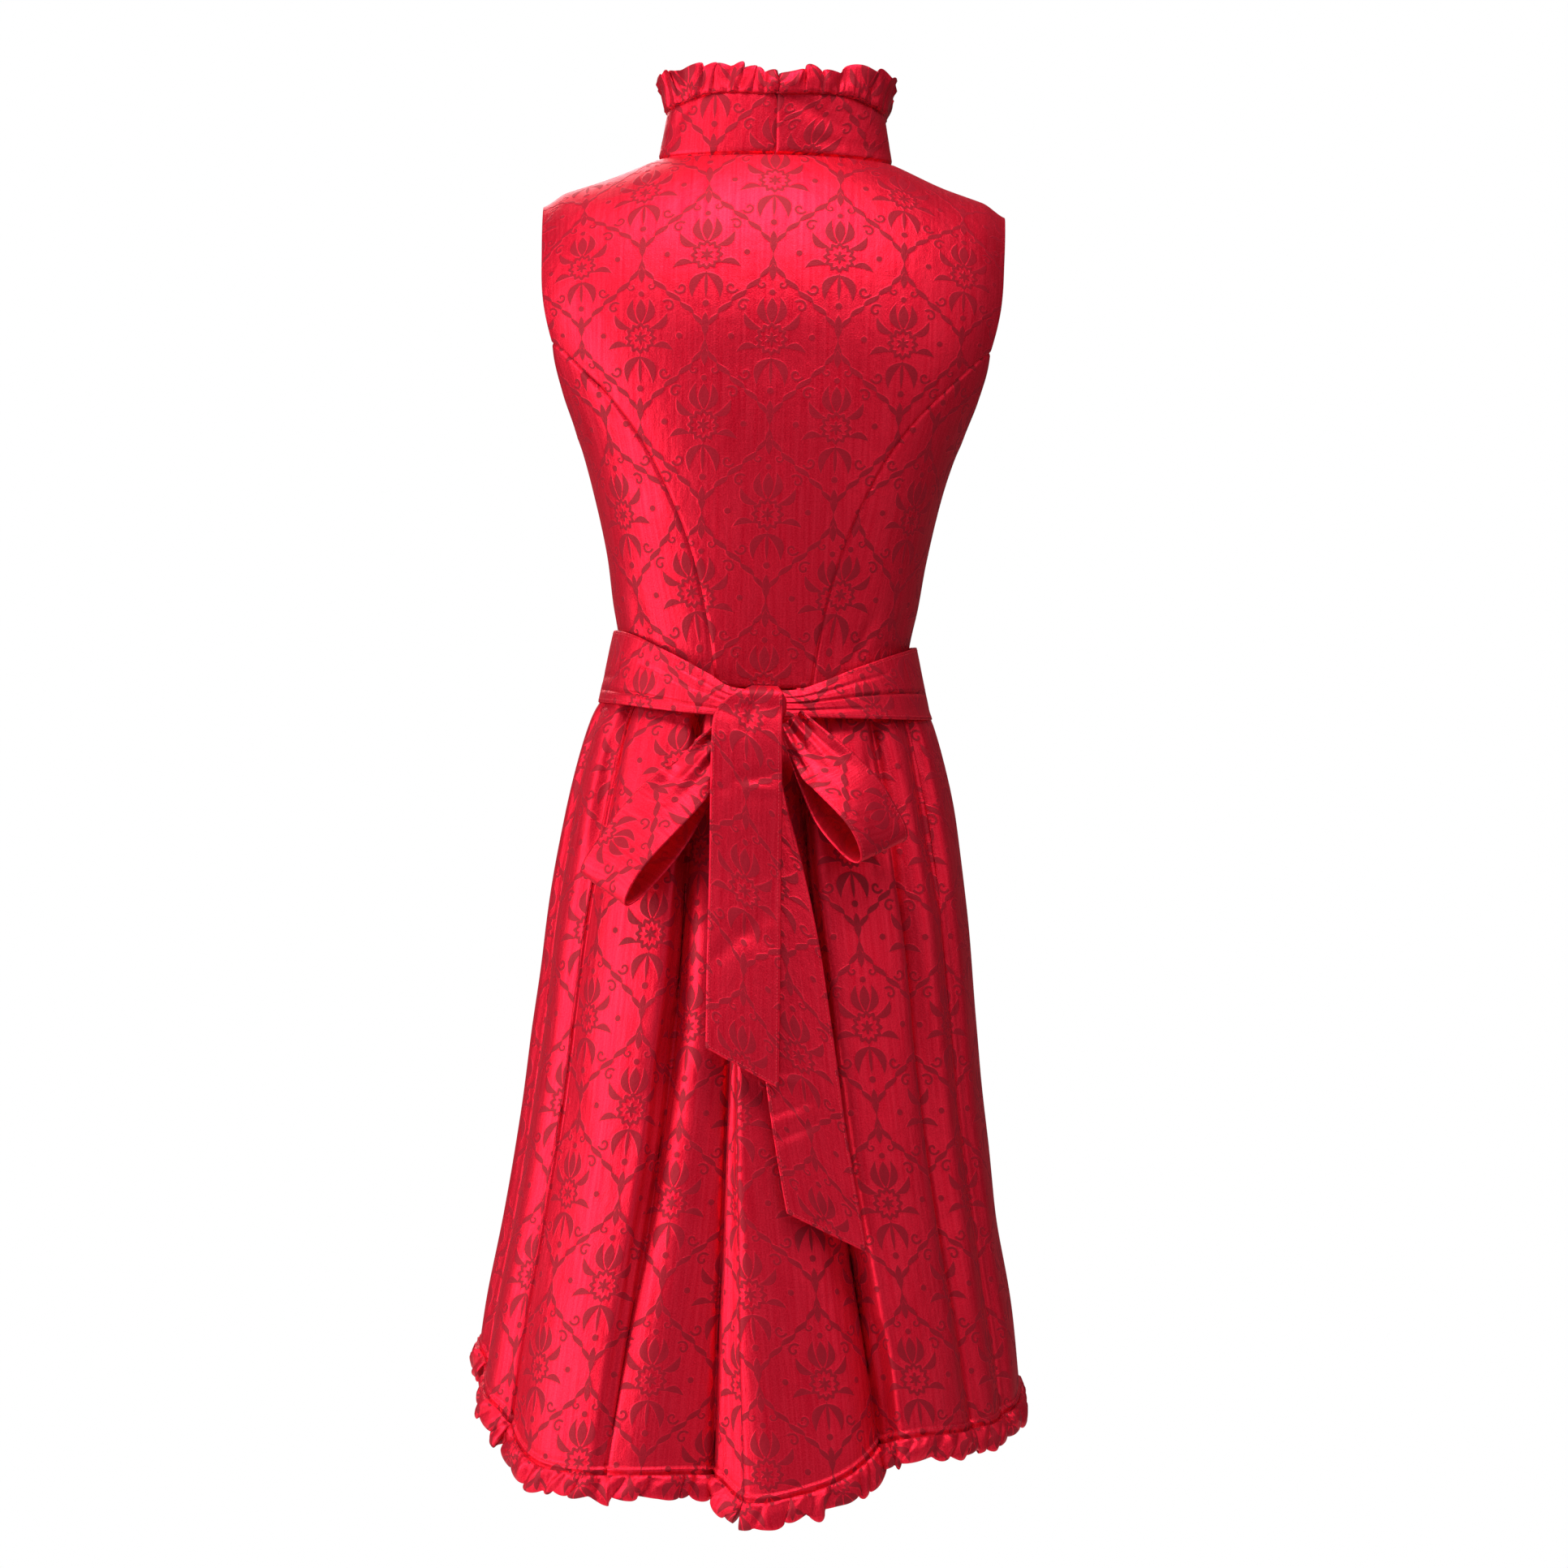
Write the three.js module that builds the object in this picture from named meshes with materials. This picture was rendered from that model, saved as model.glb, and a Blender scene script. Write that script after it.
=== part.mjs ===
// A sleeveless knee-length dirndl, worn, with nobody in it.
// Millimetres. +Z is up, +Y is the wearer's back, -Y the front, +X the wearer's left.
// The origin is at the base of the neck, level with the shoulder line, where it is held.
// A "turn" is an angle about the Z axis in degrees: 0 at the centre back, 90 at the
// left side, 180 at the centre front, and negative on the wearer's right.
import * as THREE from 'three';

// ---------------------------------------------------------------- driving sizes
const BODICE_WALL = 2.0;
const SKIRT_WALL = 1.8;
const SASH_WALL = 2.2;
const RUFFLE_WALL = 2.2;
const SEAM_GAP = 0.36;
const RUFFLE_GAP = 0.95;
const WAIST_Z = -400;

// Bodice sections. h is the height up the cloth; the three others are the reach of the
// outer face from the axis to the side, to the back and to the front.
const BODY = [
  { h: -400, side: 111, back: 82, front: 100 },
  { h: -370, side: 110, back: 83, front: 102 },
  { h: -335, side: 116.5, back: 88, front: 109 },
  { h: -300, side: 122, back: 95, front: 119 },
  { h: -262, side: 130.5, back: 102, front: 127 },
  { h: -225, side: 141, back: 106, front: 122 },
  { h: -205, side: 149, back: 108, front: 116 },
  { h: -180, side: 162, back: 109, front: 110 },
  { h: -150, side: 175, back: 109, front: 104 },
  { h: -100, side: 185, back: 108, front: 98 },
  { h: -40, side: 187, back: 108, front: 96 },
  { h: 90, side: 187, back: 108, front: 96 },
];
const BODY_ROUND = 0.86;
const CHEST_TOP = -150;
const CAP_RUN = 240;
const BODY_TOP = CHEST_TOP + CAP_RUN;
const TIP = { x: 176, z: -31, softFrom: 158, drop: 5 };
const SHOULDER = { slope: 0.345, round: 40, inset: 6, neckRise: 5, neckFrom: 80, neckTo: 135 };
const CUP = { out: 11, x: 78, wide: 46, h: -262, tall: 58 };
const NECK = { half: 90, vee: -165, veeBend: 0.9 };

// Armholes: the turn of the edge from the side, below and above the princess seams.
const ARMHOLE = { bottom: -212, seam: -142, backTurn: 23, frontTurn: 32, tipTurn: 21.3 };

// Princess seams: half the distance between the pair, at each height.
const BACK_SEAM = [
  { h: -400, x: 36 },
  { h: -364, x: 41 },
  { h: -325, x: 49 },
  { h: -287, x: 61 },
  { h: -250, x: 77.5 },
  { h: -222, x: 93 },
  { h: -195, x: 113 },
  { h: -170, x: 137 },
];
const FRONT_SEAM = [
  { h: -400, x: 50 },
  { h: -340, x: 62 },
  { h: -300, x: 73 },
  { h: -262, x: 83 },
  { h: -230, x: 92 },
  { h: -200, x: 106 },
  { h: -170, x: 127 },
];

// Collar: along runs from 0 at the centre back to 1 at the shoulder and 2 at the foot of
// the neckline. The others are where the top edge stands from the neck seam, and how far
// the ruffle on it leans out.
const COLLAR = [
  { along: 0, rise: 45.5, outward: 0, forward: -3, flare: 2 },
  { along: 0.5, rise: 47, outward: -4, forward: -3, flare: 8 },
  { along: 1, rise: 38.5, outward: -7, forward: -2, flare: 17 },
  { along: 1.3, rise: 32.5, outward: -1, forward: -9, flare: 16 },
  { along: 1.6, rise: 25, outward: 2, forward: -14, flare: 10 },
  { along: 2, rise: 12, outward: 0, forward: -8, flare: 3 },
];
const COLLAR_FOOT = 1.93;
const COLLAR_RUFFLE = { reach: 17.5, wave: 24, swing: 3.4, perWave: 3 };

// Skirt sections without folds, as for the bodice.
const SKIRT = [
  { z: -1020, side: 217, back: 184, front: 170 },
  { z: -950, side: 211, back: 178, front: 165 },
  { z: -871, side: 201, back: 171, front: 159 },
  { z: -797, side: 188, back: 164, front: 152 },
  { z: -722, side: 177, back: 157, front: 146 },
  { z: -650, side: 169, back: 150, front: 141 },
  { z: -574, side: 161, back: 138, front: 136 },
  { z: -500, side: 150, back: 120, front: 130 },
  { z: -462, side: 142, back: 108, front: 124 },
  { z: -427, side: 132, back: 96, front: 117 },
  { z: -412, side: 118.5, back: 88, front: 108 },
  { z: -400, side: 113, back: 84, front: 104 },
];
const SKIRT_ROUND = 0.9;

// Level of the hem at each turn: it climbs from the back to the front.
const HEM = [
  { turn: -180, z: -895 },
  { turn: -120, z: -902 },
  { turn: -95, z: -920 },
  { turn: -80, z: -933 },
  { turn: -68, z: -941 },
  { turn: -54, z: -945 },
  { turn: -38, z: -946 },
  { turn: -30, z: -953 },
  { turn: -15, z: -982 },
  { turn: -3, z: -992 },
  { turn: 5, z: -977 },
  { turn: 40, z: -977 },
  { turn: 52, z: -966 },
  { turn: 62, z: -945 },
  { turn: 75, z: -927 },
  { turn: 90, z: -905 },
  { turn: 120, z: -897 },
  { turn: 180, z: -895 },
];

// Pleats: the turn of each one's trough at the waist, at mid height and at the hem, its
// depth at the same three levels, its half width at mid height, and how far the bank on
// the left (+) or on the right (-) of the trough leans over it.
const PLEATS = [
  { top: 4, mid: 4, hem: 4, deepTop: 5, deepMid: 13, deepHem: 30, wide: 17, lean: -15 },
  { top: 20, mid: 22, hem: 28, deepTop: 6, deepMid: 22, deepHem: 8, wide: 17, lean: 15 },
  { top: 53, mid: 55, hem: 59, deepTop: 7, deepMid: 18, deepHem: 26, wide: 17, lean: 7 },
  { top: 78, mid: 79, hem: 82, deepTop: 5, deepMid: 12, deepHem: 16, wide: 15, lean: 9 },
  { top: -10, mid: -18, hem: -30, deepTop: 6, deepMid: 27, deepHem: 24, wide: 17, lean: -15 },
  { top: -38, mid: -45, hem: -52, deepTop: 7, deepMid: 20, deepHem: 9, wide: 16, lean: 4 },
  { top: -60, mid: -64, hem: -68, deepTop: 6, deepMid: 10, deepHem: 14, wide: 15, lean: -9 },
  { top: -92, mid: -98, hem: -102, deepTop: 5, deepMid: 12, deepHem: 18, wide: 15, lean: -9 },
  { top: 104, mid: 106, hem: 107, deepTop: 6, deepMid: 16, deepHem: 20, wide: 17, lean: -10 },
  { top: 131, mid: 133, hem: 131, deepTop: 6, deepMid: 17, deepHem: 24, wide: 17, lean: -11 },
  { top: 159, mid: 158, hem: 155, deepTop: 6, deepMid: 18, deepHem: 20, wide: 18, lean: -12 },
  { top: -113, mid: -118, hem: -122, deepTop: 6, deepMid: 17, deepHem: 22, wide: 17, lean: 10 },
  { top: -134, mid: -135, hem: -138, deepTop: 6, deepMid: 16, deepHem: 19, wide: 17, lean: 11 },
  { top: -160, mid: -161, hem: -163, deepTop: 6, deepMid: 19, deepHem: 25, wide: 18, lean: 12 },
];
const PLEAT_LEVELS = { top: -425, mid: -640, hem: -985 };
const PLEAT_SHARE = { top: 0.45, mid: 1, hem: 1.35 };
const LEAN_SHARE = { top: 0.3, mid: 1, hem: 0.9 };
const PLEAT_FOLLOW = 16;
const SKIRT_LEVELS = [0, 0.02, 0.045, 0.1, 0.17, 0.28, 0.42, 0.58, 0.78, 1];
const HEM_RUFFLE = { reach: 19, wave: 27, swing: 3.4, perWave: 3 };
const HEM_FLARE = 2.5;

// Sash: its outer face, then its middle line and half height round the waist.
const SASH = [
  { z: -440, side: 131, back: 112, front: 125 },
  { z: -422, side: 130, back: 106.5, front: 121.5 },
  { z: -412, side: 126, back: 102, front: 118.5 },
  { z: -385, side: 119, back: 95, front: 112 },
  { z: -350, side: 114, back: 90.5, front: 110 },
];
const SASH_RUN = [
  { turn: -180, z: -390, half: 27 },
  { turn: -90, z: -392.5, half: 27 },
  { turn: -60, z: -396, half: 24.5 },
  { turn: -35, z: -402, half: 19 },
  { turn: -18, z: -408.5, half: 13 },
  { turn: -9, z: -411.5, half: 10 },
  { turn: 9, z: -411, half: 10.5 },
  { turn: 18, z: -405.5, half: 15 },
  { turn: 35, z: -396.5, half: 21 },
  { turn: 60, z: -387.5, half: 26 },
  { turn: 90, z: -385, half: 27 },
  { turn: 180, z: -390, half: 27 },
];
const KNOT = { at: [0, 115, -414], half: [17.5, 9.5, 13], round: 0.75 };

// Bow loops: from the knot along a slanting line, opened by depth and twisted by tilt.
const LOOPS = {
  bow_loop_left: { from: [21, 117.5, -430], to: [114, 133, -552], open: 15, tilt: 42, side: 1 },
  bow_loop_right: { from: [-20, 118, -424], to: [-90, 141, -519], open: 17, tilt: 46, side: -1 },
};
const LOOP_HALF = [
  { along: 0, half: 11 },
  { along: 0.35, half: 20 },
  { along: 0.7, half: 25.5 },
  { along: 1, half: 26.5 },
];

// Tails: middle line, half width, and how far the outer face stands proud of the skirt's
// unfolded section. The end slants down to the wearer's right.
const TAIL_FRONT = [
  { z: -700, x: 9, half: 26.5, proud: 8 },
  { z: -600, x: 10, half: 26.5, proud: 9.5 },
  { z: -540, x: 10.5, half: 26, proud: 14.5 },
  { z: -480, x: 11, half: 26, proud: 28.5 },
  { z: -440, x: 11.5, half: 25.5, proud: 38.5 },
  { z: -420, x: 10.5, half: 24.5, proud: 42 },
  { z: -409, x: 6, half: 20, proud: 46 },
  { z: -403, x: 1, half: 15, proud: 45.5 },
  { z: -399, x: -1, half: 13, proud: 38 },
];
const TAIL_REAR = [
  { z: -830, x: -62, half: 26.5, proud: 4.4 },
  { z: -730, x: -42, half: 26.5, proud: 4.4 },
  { z: -650, x: -29, half: 26.5, proud: 4.5 },
  { z: -590, x: -19, half: 26, proud: 4.6 },
  { z: -530, x: -7, half: 24, proud: 5 },
  { z: -470, x: 5, half: 20, proud: 6 },
  { z: -430, x: 3, half: 14, proud: 9 },
];
const TAIL_END = { front: -664, rear: -782, slant: 28 };

const CLOTH_RED = 0xd3152f;
const SASH_RED = 0xd81c36;

// ---------------------------------------------------------------- small mathematics
const toRadians = (degrees) => (degrees * Math.PI) / 180;
const toDegrees = (radians) => (radians * 180) / Math.PI;
const mix = (a, b, t) => a + (b - a) * t;
const bell = (distance, wide) => Math.exp(-((distance / wide) ** 2));
const signedPower = (value, power) => Math.sign(value) * Math.abs(value) ** power;

function ease(t) {
  const s = Math.min(1, Math.max(0, t));
  return s * s * (3 - 2 * s);
}

// A smooth curve through one column of a table whose rows rise in `key`.
function readTable(table, key, at, column) {
  const last = table.length - 1;
  const place = Math.min(table[last][key], Math.max(table[0][key], at));
  let i = 0;
  while (i < last - 1 && place > table[i + 1][key]) i += 1;
  const slope = (k) => {
    const a = table[Math.max(0, k - 1)];
    const b = table[Math.min(last, k + 1)];
    return (b[column] - a[column]) / (b[key] - a[key]);
  };
  const [low, high] = [table[i], table[i + 1]];
  const run = high[key] - low[key];
  const t = (place - low[key]) / run;
  const bend = t * t * (3 - 2 * t);
  return low[column] + (high[column] - low[column]) * bend
    + run * t * (1 - t) * ((1 - t) * slope(i) - t * slope(i + 1));
}

function spread(from, to, steps) {
  return Array.from({ length: steps + 1 }, (_, i) => mix(from, to, i / steps));
}

// ---------------------------------------------------------------- walls of cloth
// Outward unit normal of surface(u, v), where u runs round and v runs up.
function normalOf(surface, u, v, step, level) {
  const along = surface(u + step, v).sub(surface(u - step, v));
  const up = level ? new THREE.Vector3(0, 0, 1) : surface(u, v + step).sub(surface(u, v - step));
  return up.cross(along).normalize();
}

// Moves the outermost points of the chosen edges in, towards the next row or column.
function trimEdges(grid, edges) {
  const copy = grid.map((column) => column.map((point) => point.clone()));
  const pull = (point, next) => {
    point.addScaledVector(next.clone().sub(point).normalize(), SEAM_GAP / 2);
  };
  const [columns, rows] = [grid.length - 1, grid[0].length - 1];
  for (let j = 0; j <= rows; j += 1) {
    if (edges.includes('start')) pull(grid[0][j], copy[1][j]);
    if (edges.includes('end')) pull(grid[columns][j], copy[columns - 1][j]);
  }
  for (let i = 0; i <= columns; i += 1) {
    if (edges.includes('bottom')) pull(grid[i][0], copy[i][1]);
    if (edges.includes('top')) pull(grid[i][rows], copy[i][rows - 1]);
  }
}

function signedVolume(points, index) {
  let total = 0;
  for (let k = 0; k < index.length; k += 3) {
    const [a, b, c] = [0, 1, 2].map((n) => points[index[k + n]]);
    total += a.dot(b.clone().cross(c));
  }
  return total / 6;
}

// A closed solid between two faces given as grids of points.
function solidBetween(outer, inner) {
  const [columns, rows] = [outer.length, outer[0].length];
  const at = (side, i, j) => (side * columns + i) * rows + j;
  const points = [outer, inner].flatMap((grid) => grid.flat());
  const index = [];
  const quad = (a, b, c, d) => {
    const straight = points[a].distanceTo(points[c]) <= points[b].distanceTo(points[d]);
    index.push(...(straight ? [a, b, c, a, c, d] : [a, b, d, b, c, d]));
  };
  for (let i = 0; i < columns - 1; i += 1) {
    for (let j = 0; j < rows - 1; j += 1) {
      quad(at(0, i, j), at(0, i + 1, j), at(0, i + 1, j + 1), at(0, i, j + 1));
      quad(at(1, i, j), at(1, i, j + 1), at(1, i + 1, j + 1), at(1, i + 1, j));
    }
    const top = rows - 1;
    quad(at(0, i, 0), at(1, i, 0), at(1, i + 1, 0), at(0, i + 1, 0));
    quad(at(0, i, top), at(0, i + 1, top), at(1, i + 1, top), at(1, i, top));
  }
  for (let j = 0; j < rows - 1; j += 1) {
    const end = columns - 1;
    quad(at(0, 0, j), at(0, 0, j + 1), at(1, 0, j + 1), at(1, 0, j));
    quad(at(0, end, j), at(1, end, j), at(1, end, j + 1), at(0, end, j + 1));
  }
  if (signedVolume(points, index) < 0) {
    for (let k = 0; k < index.length; k += 3) {
      [index[k + 1], index[k + 2]] = [index[k + 2], index[k + 1]];
    }
  }
  const geometry = new THREE.BufferGeometry();
  const flat = points.flatMap((point) => [point.x, point.y, point.z]);
  geometry.setAttribute('position', new THREE.Float32BufferAttribute(flat, 3));
  geometry.setIndex(index);
  geometry.computeVertexNormals();
  return geometry;
}

// A wall of cloth through places, a grid of { u, v } on surface(u, v) as its outer face.
function clothWall(surface, places, { wall, edges = [], step = 0.25, level = false }) {
  const outer = places.map((column) => column.map(({ u, v }) => surface(u, v)));
  const inner = places.map((column, i) => column.map(({ u, v }, j) => {
    const normal = normalOf(surface, u, v, step, level);
    return outer[i][j].clone().addScaledVector(normal, -wall);
  }));
  trimEdges(outer, edges);
  trimEdges(inner, edges);
  return solidBetween(outer, inner);
}

const gridOf = (us, vs) => us.map((u) => vs.map((v) => ({ u, v })));

// ---------------------------------------------------------------- bodice
function shoulderRidge(x) {
  const tip = ease((Math.abs(x) - TIP.softFrom) / (TIP.x - TIP.softFrom));
  const out = Math.hypot(x, SHOULDER.round) - SHOULDER.inset;
  const neck = 1 - ease((Math.abs(x) - SHOULDER.neckFrom) / (SHOULDER.neckTo - SHOULDER.neckFrom));
  return TIP.z + (TIP.x - out) * SHOULDER.slope - TIP.drop * tip + SHOULDER.neckRise * neck;
}

// The bodice's outer face at a turn and a height up the cloth. Above the chest the height
// becomes a lift that closes the section over the shoulder ridge.
function bodyPoint(turn, h) {
  const [s, c] = [Math.sin(toRadians(turn)), Math.cos(toRadians(turn))];
  const x = readTable(BODY, 'h', h, 'side') * signedPower(s, BODY_ROUND);
  const reach = readTable(BODY, 'h', h, c >= 0 ? 'back' : 'front');
  let y = reach * signedPower(c, BODY_ROUND);
  if (c < 0) {
    const cup = bell(Math.abs(x) - CUP.x, CUP.wide) * bell(h - CUP.h, CUP.tall);
    y -= CUP.out * cup * Math.min(1, -2 * c);
  }
  if (h <= CHEST_TOP) return new THREE.Vector3(x, y, h);
  const lift = ((h - CHEST_TOP) / CAP_RUN) * (Math.PI / 2);
  const z = CHEST_TOP + (shoulderRidge(x) - CHEST_TOP) * Math.sin(lift);
  return new THREE.Vector3(x, y * Math.cos(lift), z);
}

function turnAtWidth(x, h) {
  const ratio = x / readTable(BODY, 'h', h, 'side');
  return toDegrees(Math.asin(Math.min(1, ratio ** (1 / BODY_ROUND))));
}

const NECK_TURN = turnAtWidth(NECK.half, BODY_TOP);
const TIP_TURN = 90 - ARMHOLE.tipTurn;
const NECK_PART = NECK_TURN / TIP_TURN;

// Front or back: its princess seams, with their upper ends on the armhole.
function halfOfBody(isFront) {
  const armTurn = isFront ? ARMHOLE.frontTurn : ARMHOLE.backTurn;
  const seamTop = { h: ARMHOLE.seam, x: bodyPoint(90 - armTurn, ARMHOLE.seam).x };
  return { isFront, armTurn, seam: [...(isFront ? FRONT_SEAM : BACK_SEAM), seamTop] };
}
const BACK = halfOfBody(false);
const FRONT = halfOfBody(true);

// Turn from the centre line to a centre panel's edge: the princess seam, then the armhole.
function centreEdgeTurn(half, h) {
  if (h < ARMHOLE.seam) return turnAtWidth(readTable(half.seam, 'h', h, 'x'), h);
  const t = ease((h - ARMHOLE.seam) / (BODY_TOP - ARMHOLE.seam));
  return mix(90 - half.armTurn, TIP_TURN, t);
}

// Height on the cloth of the neckline at a turn from the centre line.
function neckHeight(half, turn) {
  if (turn >= NECK_TURN) return BODY_TOP;
  const x = readTable(BODY, 'h', BODY_TOP, 'side') * Math.sin(toRadians(turn)) ** BODY_ROUND;
  const across = Math.min(1, x / NECK.half);
  const corner = shoulderRidge(NECK.half);
  const z = half.isFront ? mix(NECK.vee, corner, across ** NECK.veeBend) : corner;
  if (z <= CHEST_TOP) return z;
  const lift = Math.asin(Math.min(1, (z - CHEST_TOP) / (shoulderRidge(x) - CHEST_TOP)));
  return CHEST_TOP + CAP_RUN * (lift / (Math.PI / 2));
}

const SIDE_ROWS = spread(WAIST_Z, ARMHOLE.seam, 8);
const PANEL_ROWS = [...SIDE_ROWS, ...spread(ARMHOLE.seam, BODY_TOP, 5).slice(1)];
const fromCentre = (half, side, turn) => side * (half.isFront ? 180 - turn : turn);

// A column of a centre panel: across is 0 on the centre line and 1 on the panel's edge.
function centreColumn(half, side, across) {
  const top = neckHeight(half, across * TIP_TURN);
  return PANEL_ROWS.map((row) => ({
    u: fromCentre(half, side, across * centreEdgeTurn(half, row)),
    v: mix(WAIST_Z, top, (row - WAIST_Z) / (BODY_TOP - WAIST_Z)),
  }));
}

// A column of a side panel: across is 0 on the princess seam and 1 on the side seam.
function sideColumn(half, side, across) {
  const top = mix(ARMHOLE.bottom, ARMHOLE.seam, (1 - across) ** 2);
  return SIDE_ROWS.map((row) => ({
    u: fromCentre(half, side, mix(centreEdgeTurn(half, row), 90, across)),
    v: mix(WAIST_Z, top, (row - WAIST_Z) / (ARMHOLE.seam - WAIST_Z)),
  }));
}

function neckColumns(neckSteps) {
  return [...spread(0, NECK_PART, neckSteps), ...spread(NECK_PART, 1, 3).slice(1)];
}

function makeBackCentre() {
  const left = neckColumns(4);
  const right = left.slice(1).reverse();
  const places = [
    ...right.map((across) => centreColumn(BACK, -1, across)),
    ...left.map((across) => centreColumn(BACK, 1, across)),
  ];
  const edges = ['start', 'end', 'bottom', 'top'];
  return clothWall(bodyPoint, places, { wall: BODICE_WALL, edges });
}

function makeFront(side) {
  const places = neckColumns(6).map((across) => centreColumn(FRONT, side, across));
  const edges = ['start', 'end', 'bottom', 'top'];
  return clothWall(bodyPoint, places, { wall: BODICE_WALL, edges });
}

function makeSidePanel(half, side) {
  const places = spread(0, 1, 4).map((across) => sideColumn(half, side, across));
  const edges = ['start', 'end', 'bottom'];
  return clothWall(bodyPoint, places, { wall: BODICE_WALL, edges });
}

// ---------------------------------------------------------------- collar
// A point of the neck seam; along runs 0 at the centre back, 1 shoulder, 2 centre front.
function neckSeam(along) {
  const isFront = along > 1;
  const turn = (isFront ? 2 - along : along) * NECK_TURN;
  const half = isFront ? FRONT : BACK;
  return bodyPoint(fromCentre(half, 1, turn), neckHeight(half, turn));
}

// The collar's outer face: along is negative on the wearer's right, up runs 0 to 1.
function collarPoint(along, up) {
  const side = Math.sign(along) || 1;
  const way = Math.abs(along);
  const lean = (column) => readTable(COLLAR, 'along', way, column) * up;
  const point = neckSeam(way).add(new THREE.Vector3(lean('outward'), lean('forward'), lean('rise')));
  point.z += SEAM_GAP;
  point.x -= way > 1 ? SEAM_GAP * ease((way - 1) * 6) : 0;
  point.x *= side;
  return point;
}

const COLLAR_STEPS = [...spread(0, 1, 4), ...spread(1, 2, 6).slice(1, -1), COLLAR_FOOT];

function makeCollar(side) {
  const us = COLLAR_STEPS.map((along) => side * along);
  const options = { wall: BODICE_WALL, edges: ['start'], step: 0.02 };
  return clothWall(collarPoint, gridOf(us, spread(0, 1, 3)), options);
}

// ---------------------------------------------------------------- gathered ruffles
// A polyline read by its length, with the way that a ruffle stands on it at each point and
// how far it leans out there.
function ruffleEdge(points, ways, flares) {
  const lengths = [0];
  for (let i = 1; i < points.length; i += 1) {
    lengths.push(lengths[i - 1] + points[i].distanceTo(points[i - 1]));
  }
  const find = (length) => {
    let i = 0;
    while (i < points.length - 2 && length > lengths[i + 1]) i += 1;
    return { i, t: (length - lengths[i]) / (lengths[i + 1] - lengths[i]) };
  };
  const read = (list, { i, t }) => list[i].clone().lerp(list[i + 1], t);
  const readNumber = (list, { i, t }) => mix(list[i], list[i + 1], t);
  return {
    total: lengths[lengths.length - 1],
    pointAt: (length) => read(points, find(length)),
    wayAt: (length) => read(ways, find(length)).normalize(),
    flareAt: (length) => readNumber(flares, find(length)),
  };
}

// A waved strip that stands on an edge, its outer face on the side given by outward.
function makeRuffle(edge, size, outward) {
  const waves = Math.round(edge.total / size.wave);
  const surface = (length, out) => {
    const way = edge.wayAt(length);
    const tangent = edge.pointAt(length + 1).sub(edge.pointAt(length - 1)).normalize();
    const across = way.clone().cross(tangent).normalize().multiplyScalar(outward);
    const phase = (length / edge.total) * waves;
    const swing = Math.sin(2 * Math.PI * phase) * (0.8 + 0.3 * Math.sin(1.7 * phase));
    const reach = size.reach * out * (1 + 0.08 * Math.cos(2 * Math.PI * phase));
    return edge.pointAt(length)
      .addScaledVector(way, RUFFLE_GAP + reach)
      .addScaledVector(across, (size.swing * swing + edge.flareAt(length)) * out * out);
  };
  const us = spread(SEAM_GAP, edge.total - SEAM_GAP, waves * size.perWave);
  const wall = RUFFLE_WALL * outward * Math.sign(edge.wayAt(0).z);
  return clothWall(surface, gridOf(us, [0, 1]), { wall, step: 0.02 });
}

function makeCollarRuffle(side) {
  const top = COLLAR_STEPS.map((along) => collarPoint(side * along, 1));
  const ways = COLLAR_STEPS.map((along, i) => top[i].clone().sub(collarPoint(side * along, 0.5)));
  const flares = COLLAR_STEPS.map((along) => readTable(COLLAR, 'along', along, 'flare'));
  const edge = ruffleEdge(top, ways.map((way) => way.normalize()), flares);
  return makeRuffle(edge, COLLAR_RUFFLE, side);
}

// ---------------------------------------------------------------- skirt
function atLevels(z, { top, mid, hem }) {
  const levels = [
    { z: PLEAT_LEVELS.hem, value: hem },
    { z: PLEAT_LEVELS.mid, value: mid },
    { z: PLEAT_LEVELS.top, value: top },
  ];
  return readTable(levels, 'z', z, 'value');
}

const wrapTurn = (turn) => turn - 360 * Math.round(turn / 360);

// The skirt's section without folds.
function skirtRing(turn, z) {
  const [s, c] = [Math.sin(toRadians(turn)), Math.cos(toRadians(turn))];
  const reach = readTable(SKIRT, 'z', z, c >= 0 ? 'back' : 'front');
  const x = readTable(SKIRT, 'z', z, 'side') * signedPower(s, SKIRT_ROUND);
  return new THREE.Vector3(x, reach * signedPower(c, SKIRT_ROUND), z);
}

// The columns of the cloth follow the pleats as these wander from waist to hem.
function columnTurn(column, z) {
  return PLEATS.reduce((turn, pleat) => {
    const stray = atLevels(z, pleat) - pleat.mid;
    return turn + stray * bell(wrapTurn(column - pleat.mid), PLEAT_FOLLOW);
  }, column);
}

function skirtPoint(column, z) {
  const radius = (readTable(SKIRT, 'z', z, 'side') + readTable(SKIRT, 'z', z, 'back')) / 2;
  let [sink, shift] = [0, 0];
  PLEATS.forEach((pleat) => {
    const wide = pleat.wide * atLevels(z, PLEAT_SHARE);
    const gap = toRadians(wrapTurn(column - pleat.mid)) * radius;
    const deep = { top: pleat.deepTop, mid: pleat.deepMid, hem: pleat.deepHem };
    const side = Math.sign(pleat.lean);
    sink += atLevels(z, deep) * bell(gap, wide);
    shift -= pleat.lean * atLevels(z, LEAN_SHARE) * bell(gap - side * wide * 1.15, wide * 0.85);
  });
  const turn = columnTurn(column, z) + toDegrees(shift / radius);
  const tangent = skirtRing(turn + 0.5, z).sub(skirtRing(turn - 0.5, z)).normalize();
  const inward = tangent.cross(new THREE.Vector3(0, 0, 1));
  return skirtRing(turn, z).addScaledVector(inward, sink);
}

function hemLevel(column) {
  return readTable(HEM, 'turn', wrapTurn(columnTurn(column, PLEAT_LEVELS.hem)), 'z');
}

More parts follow.
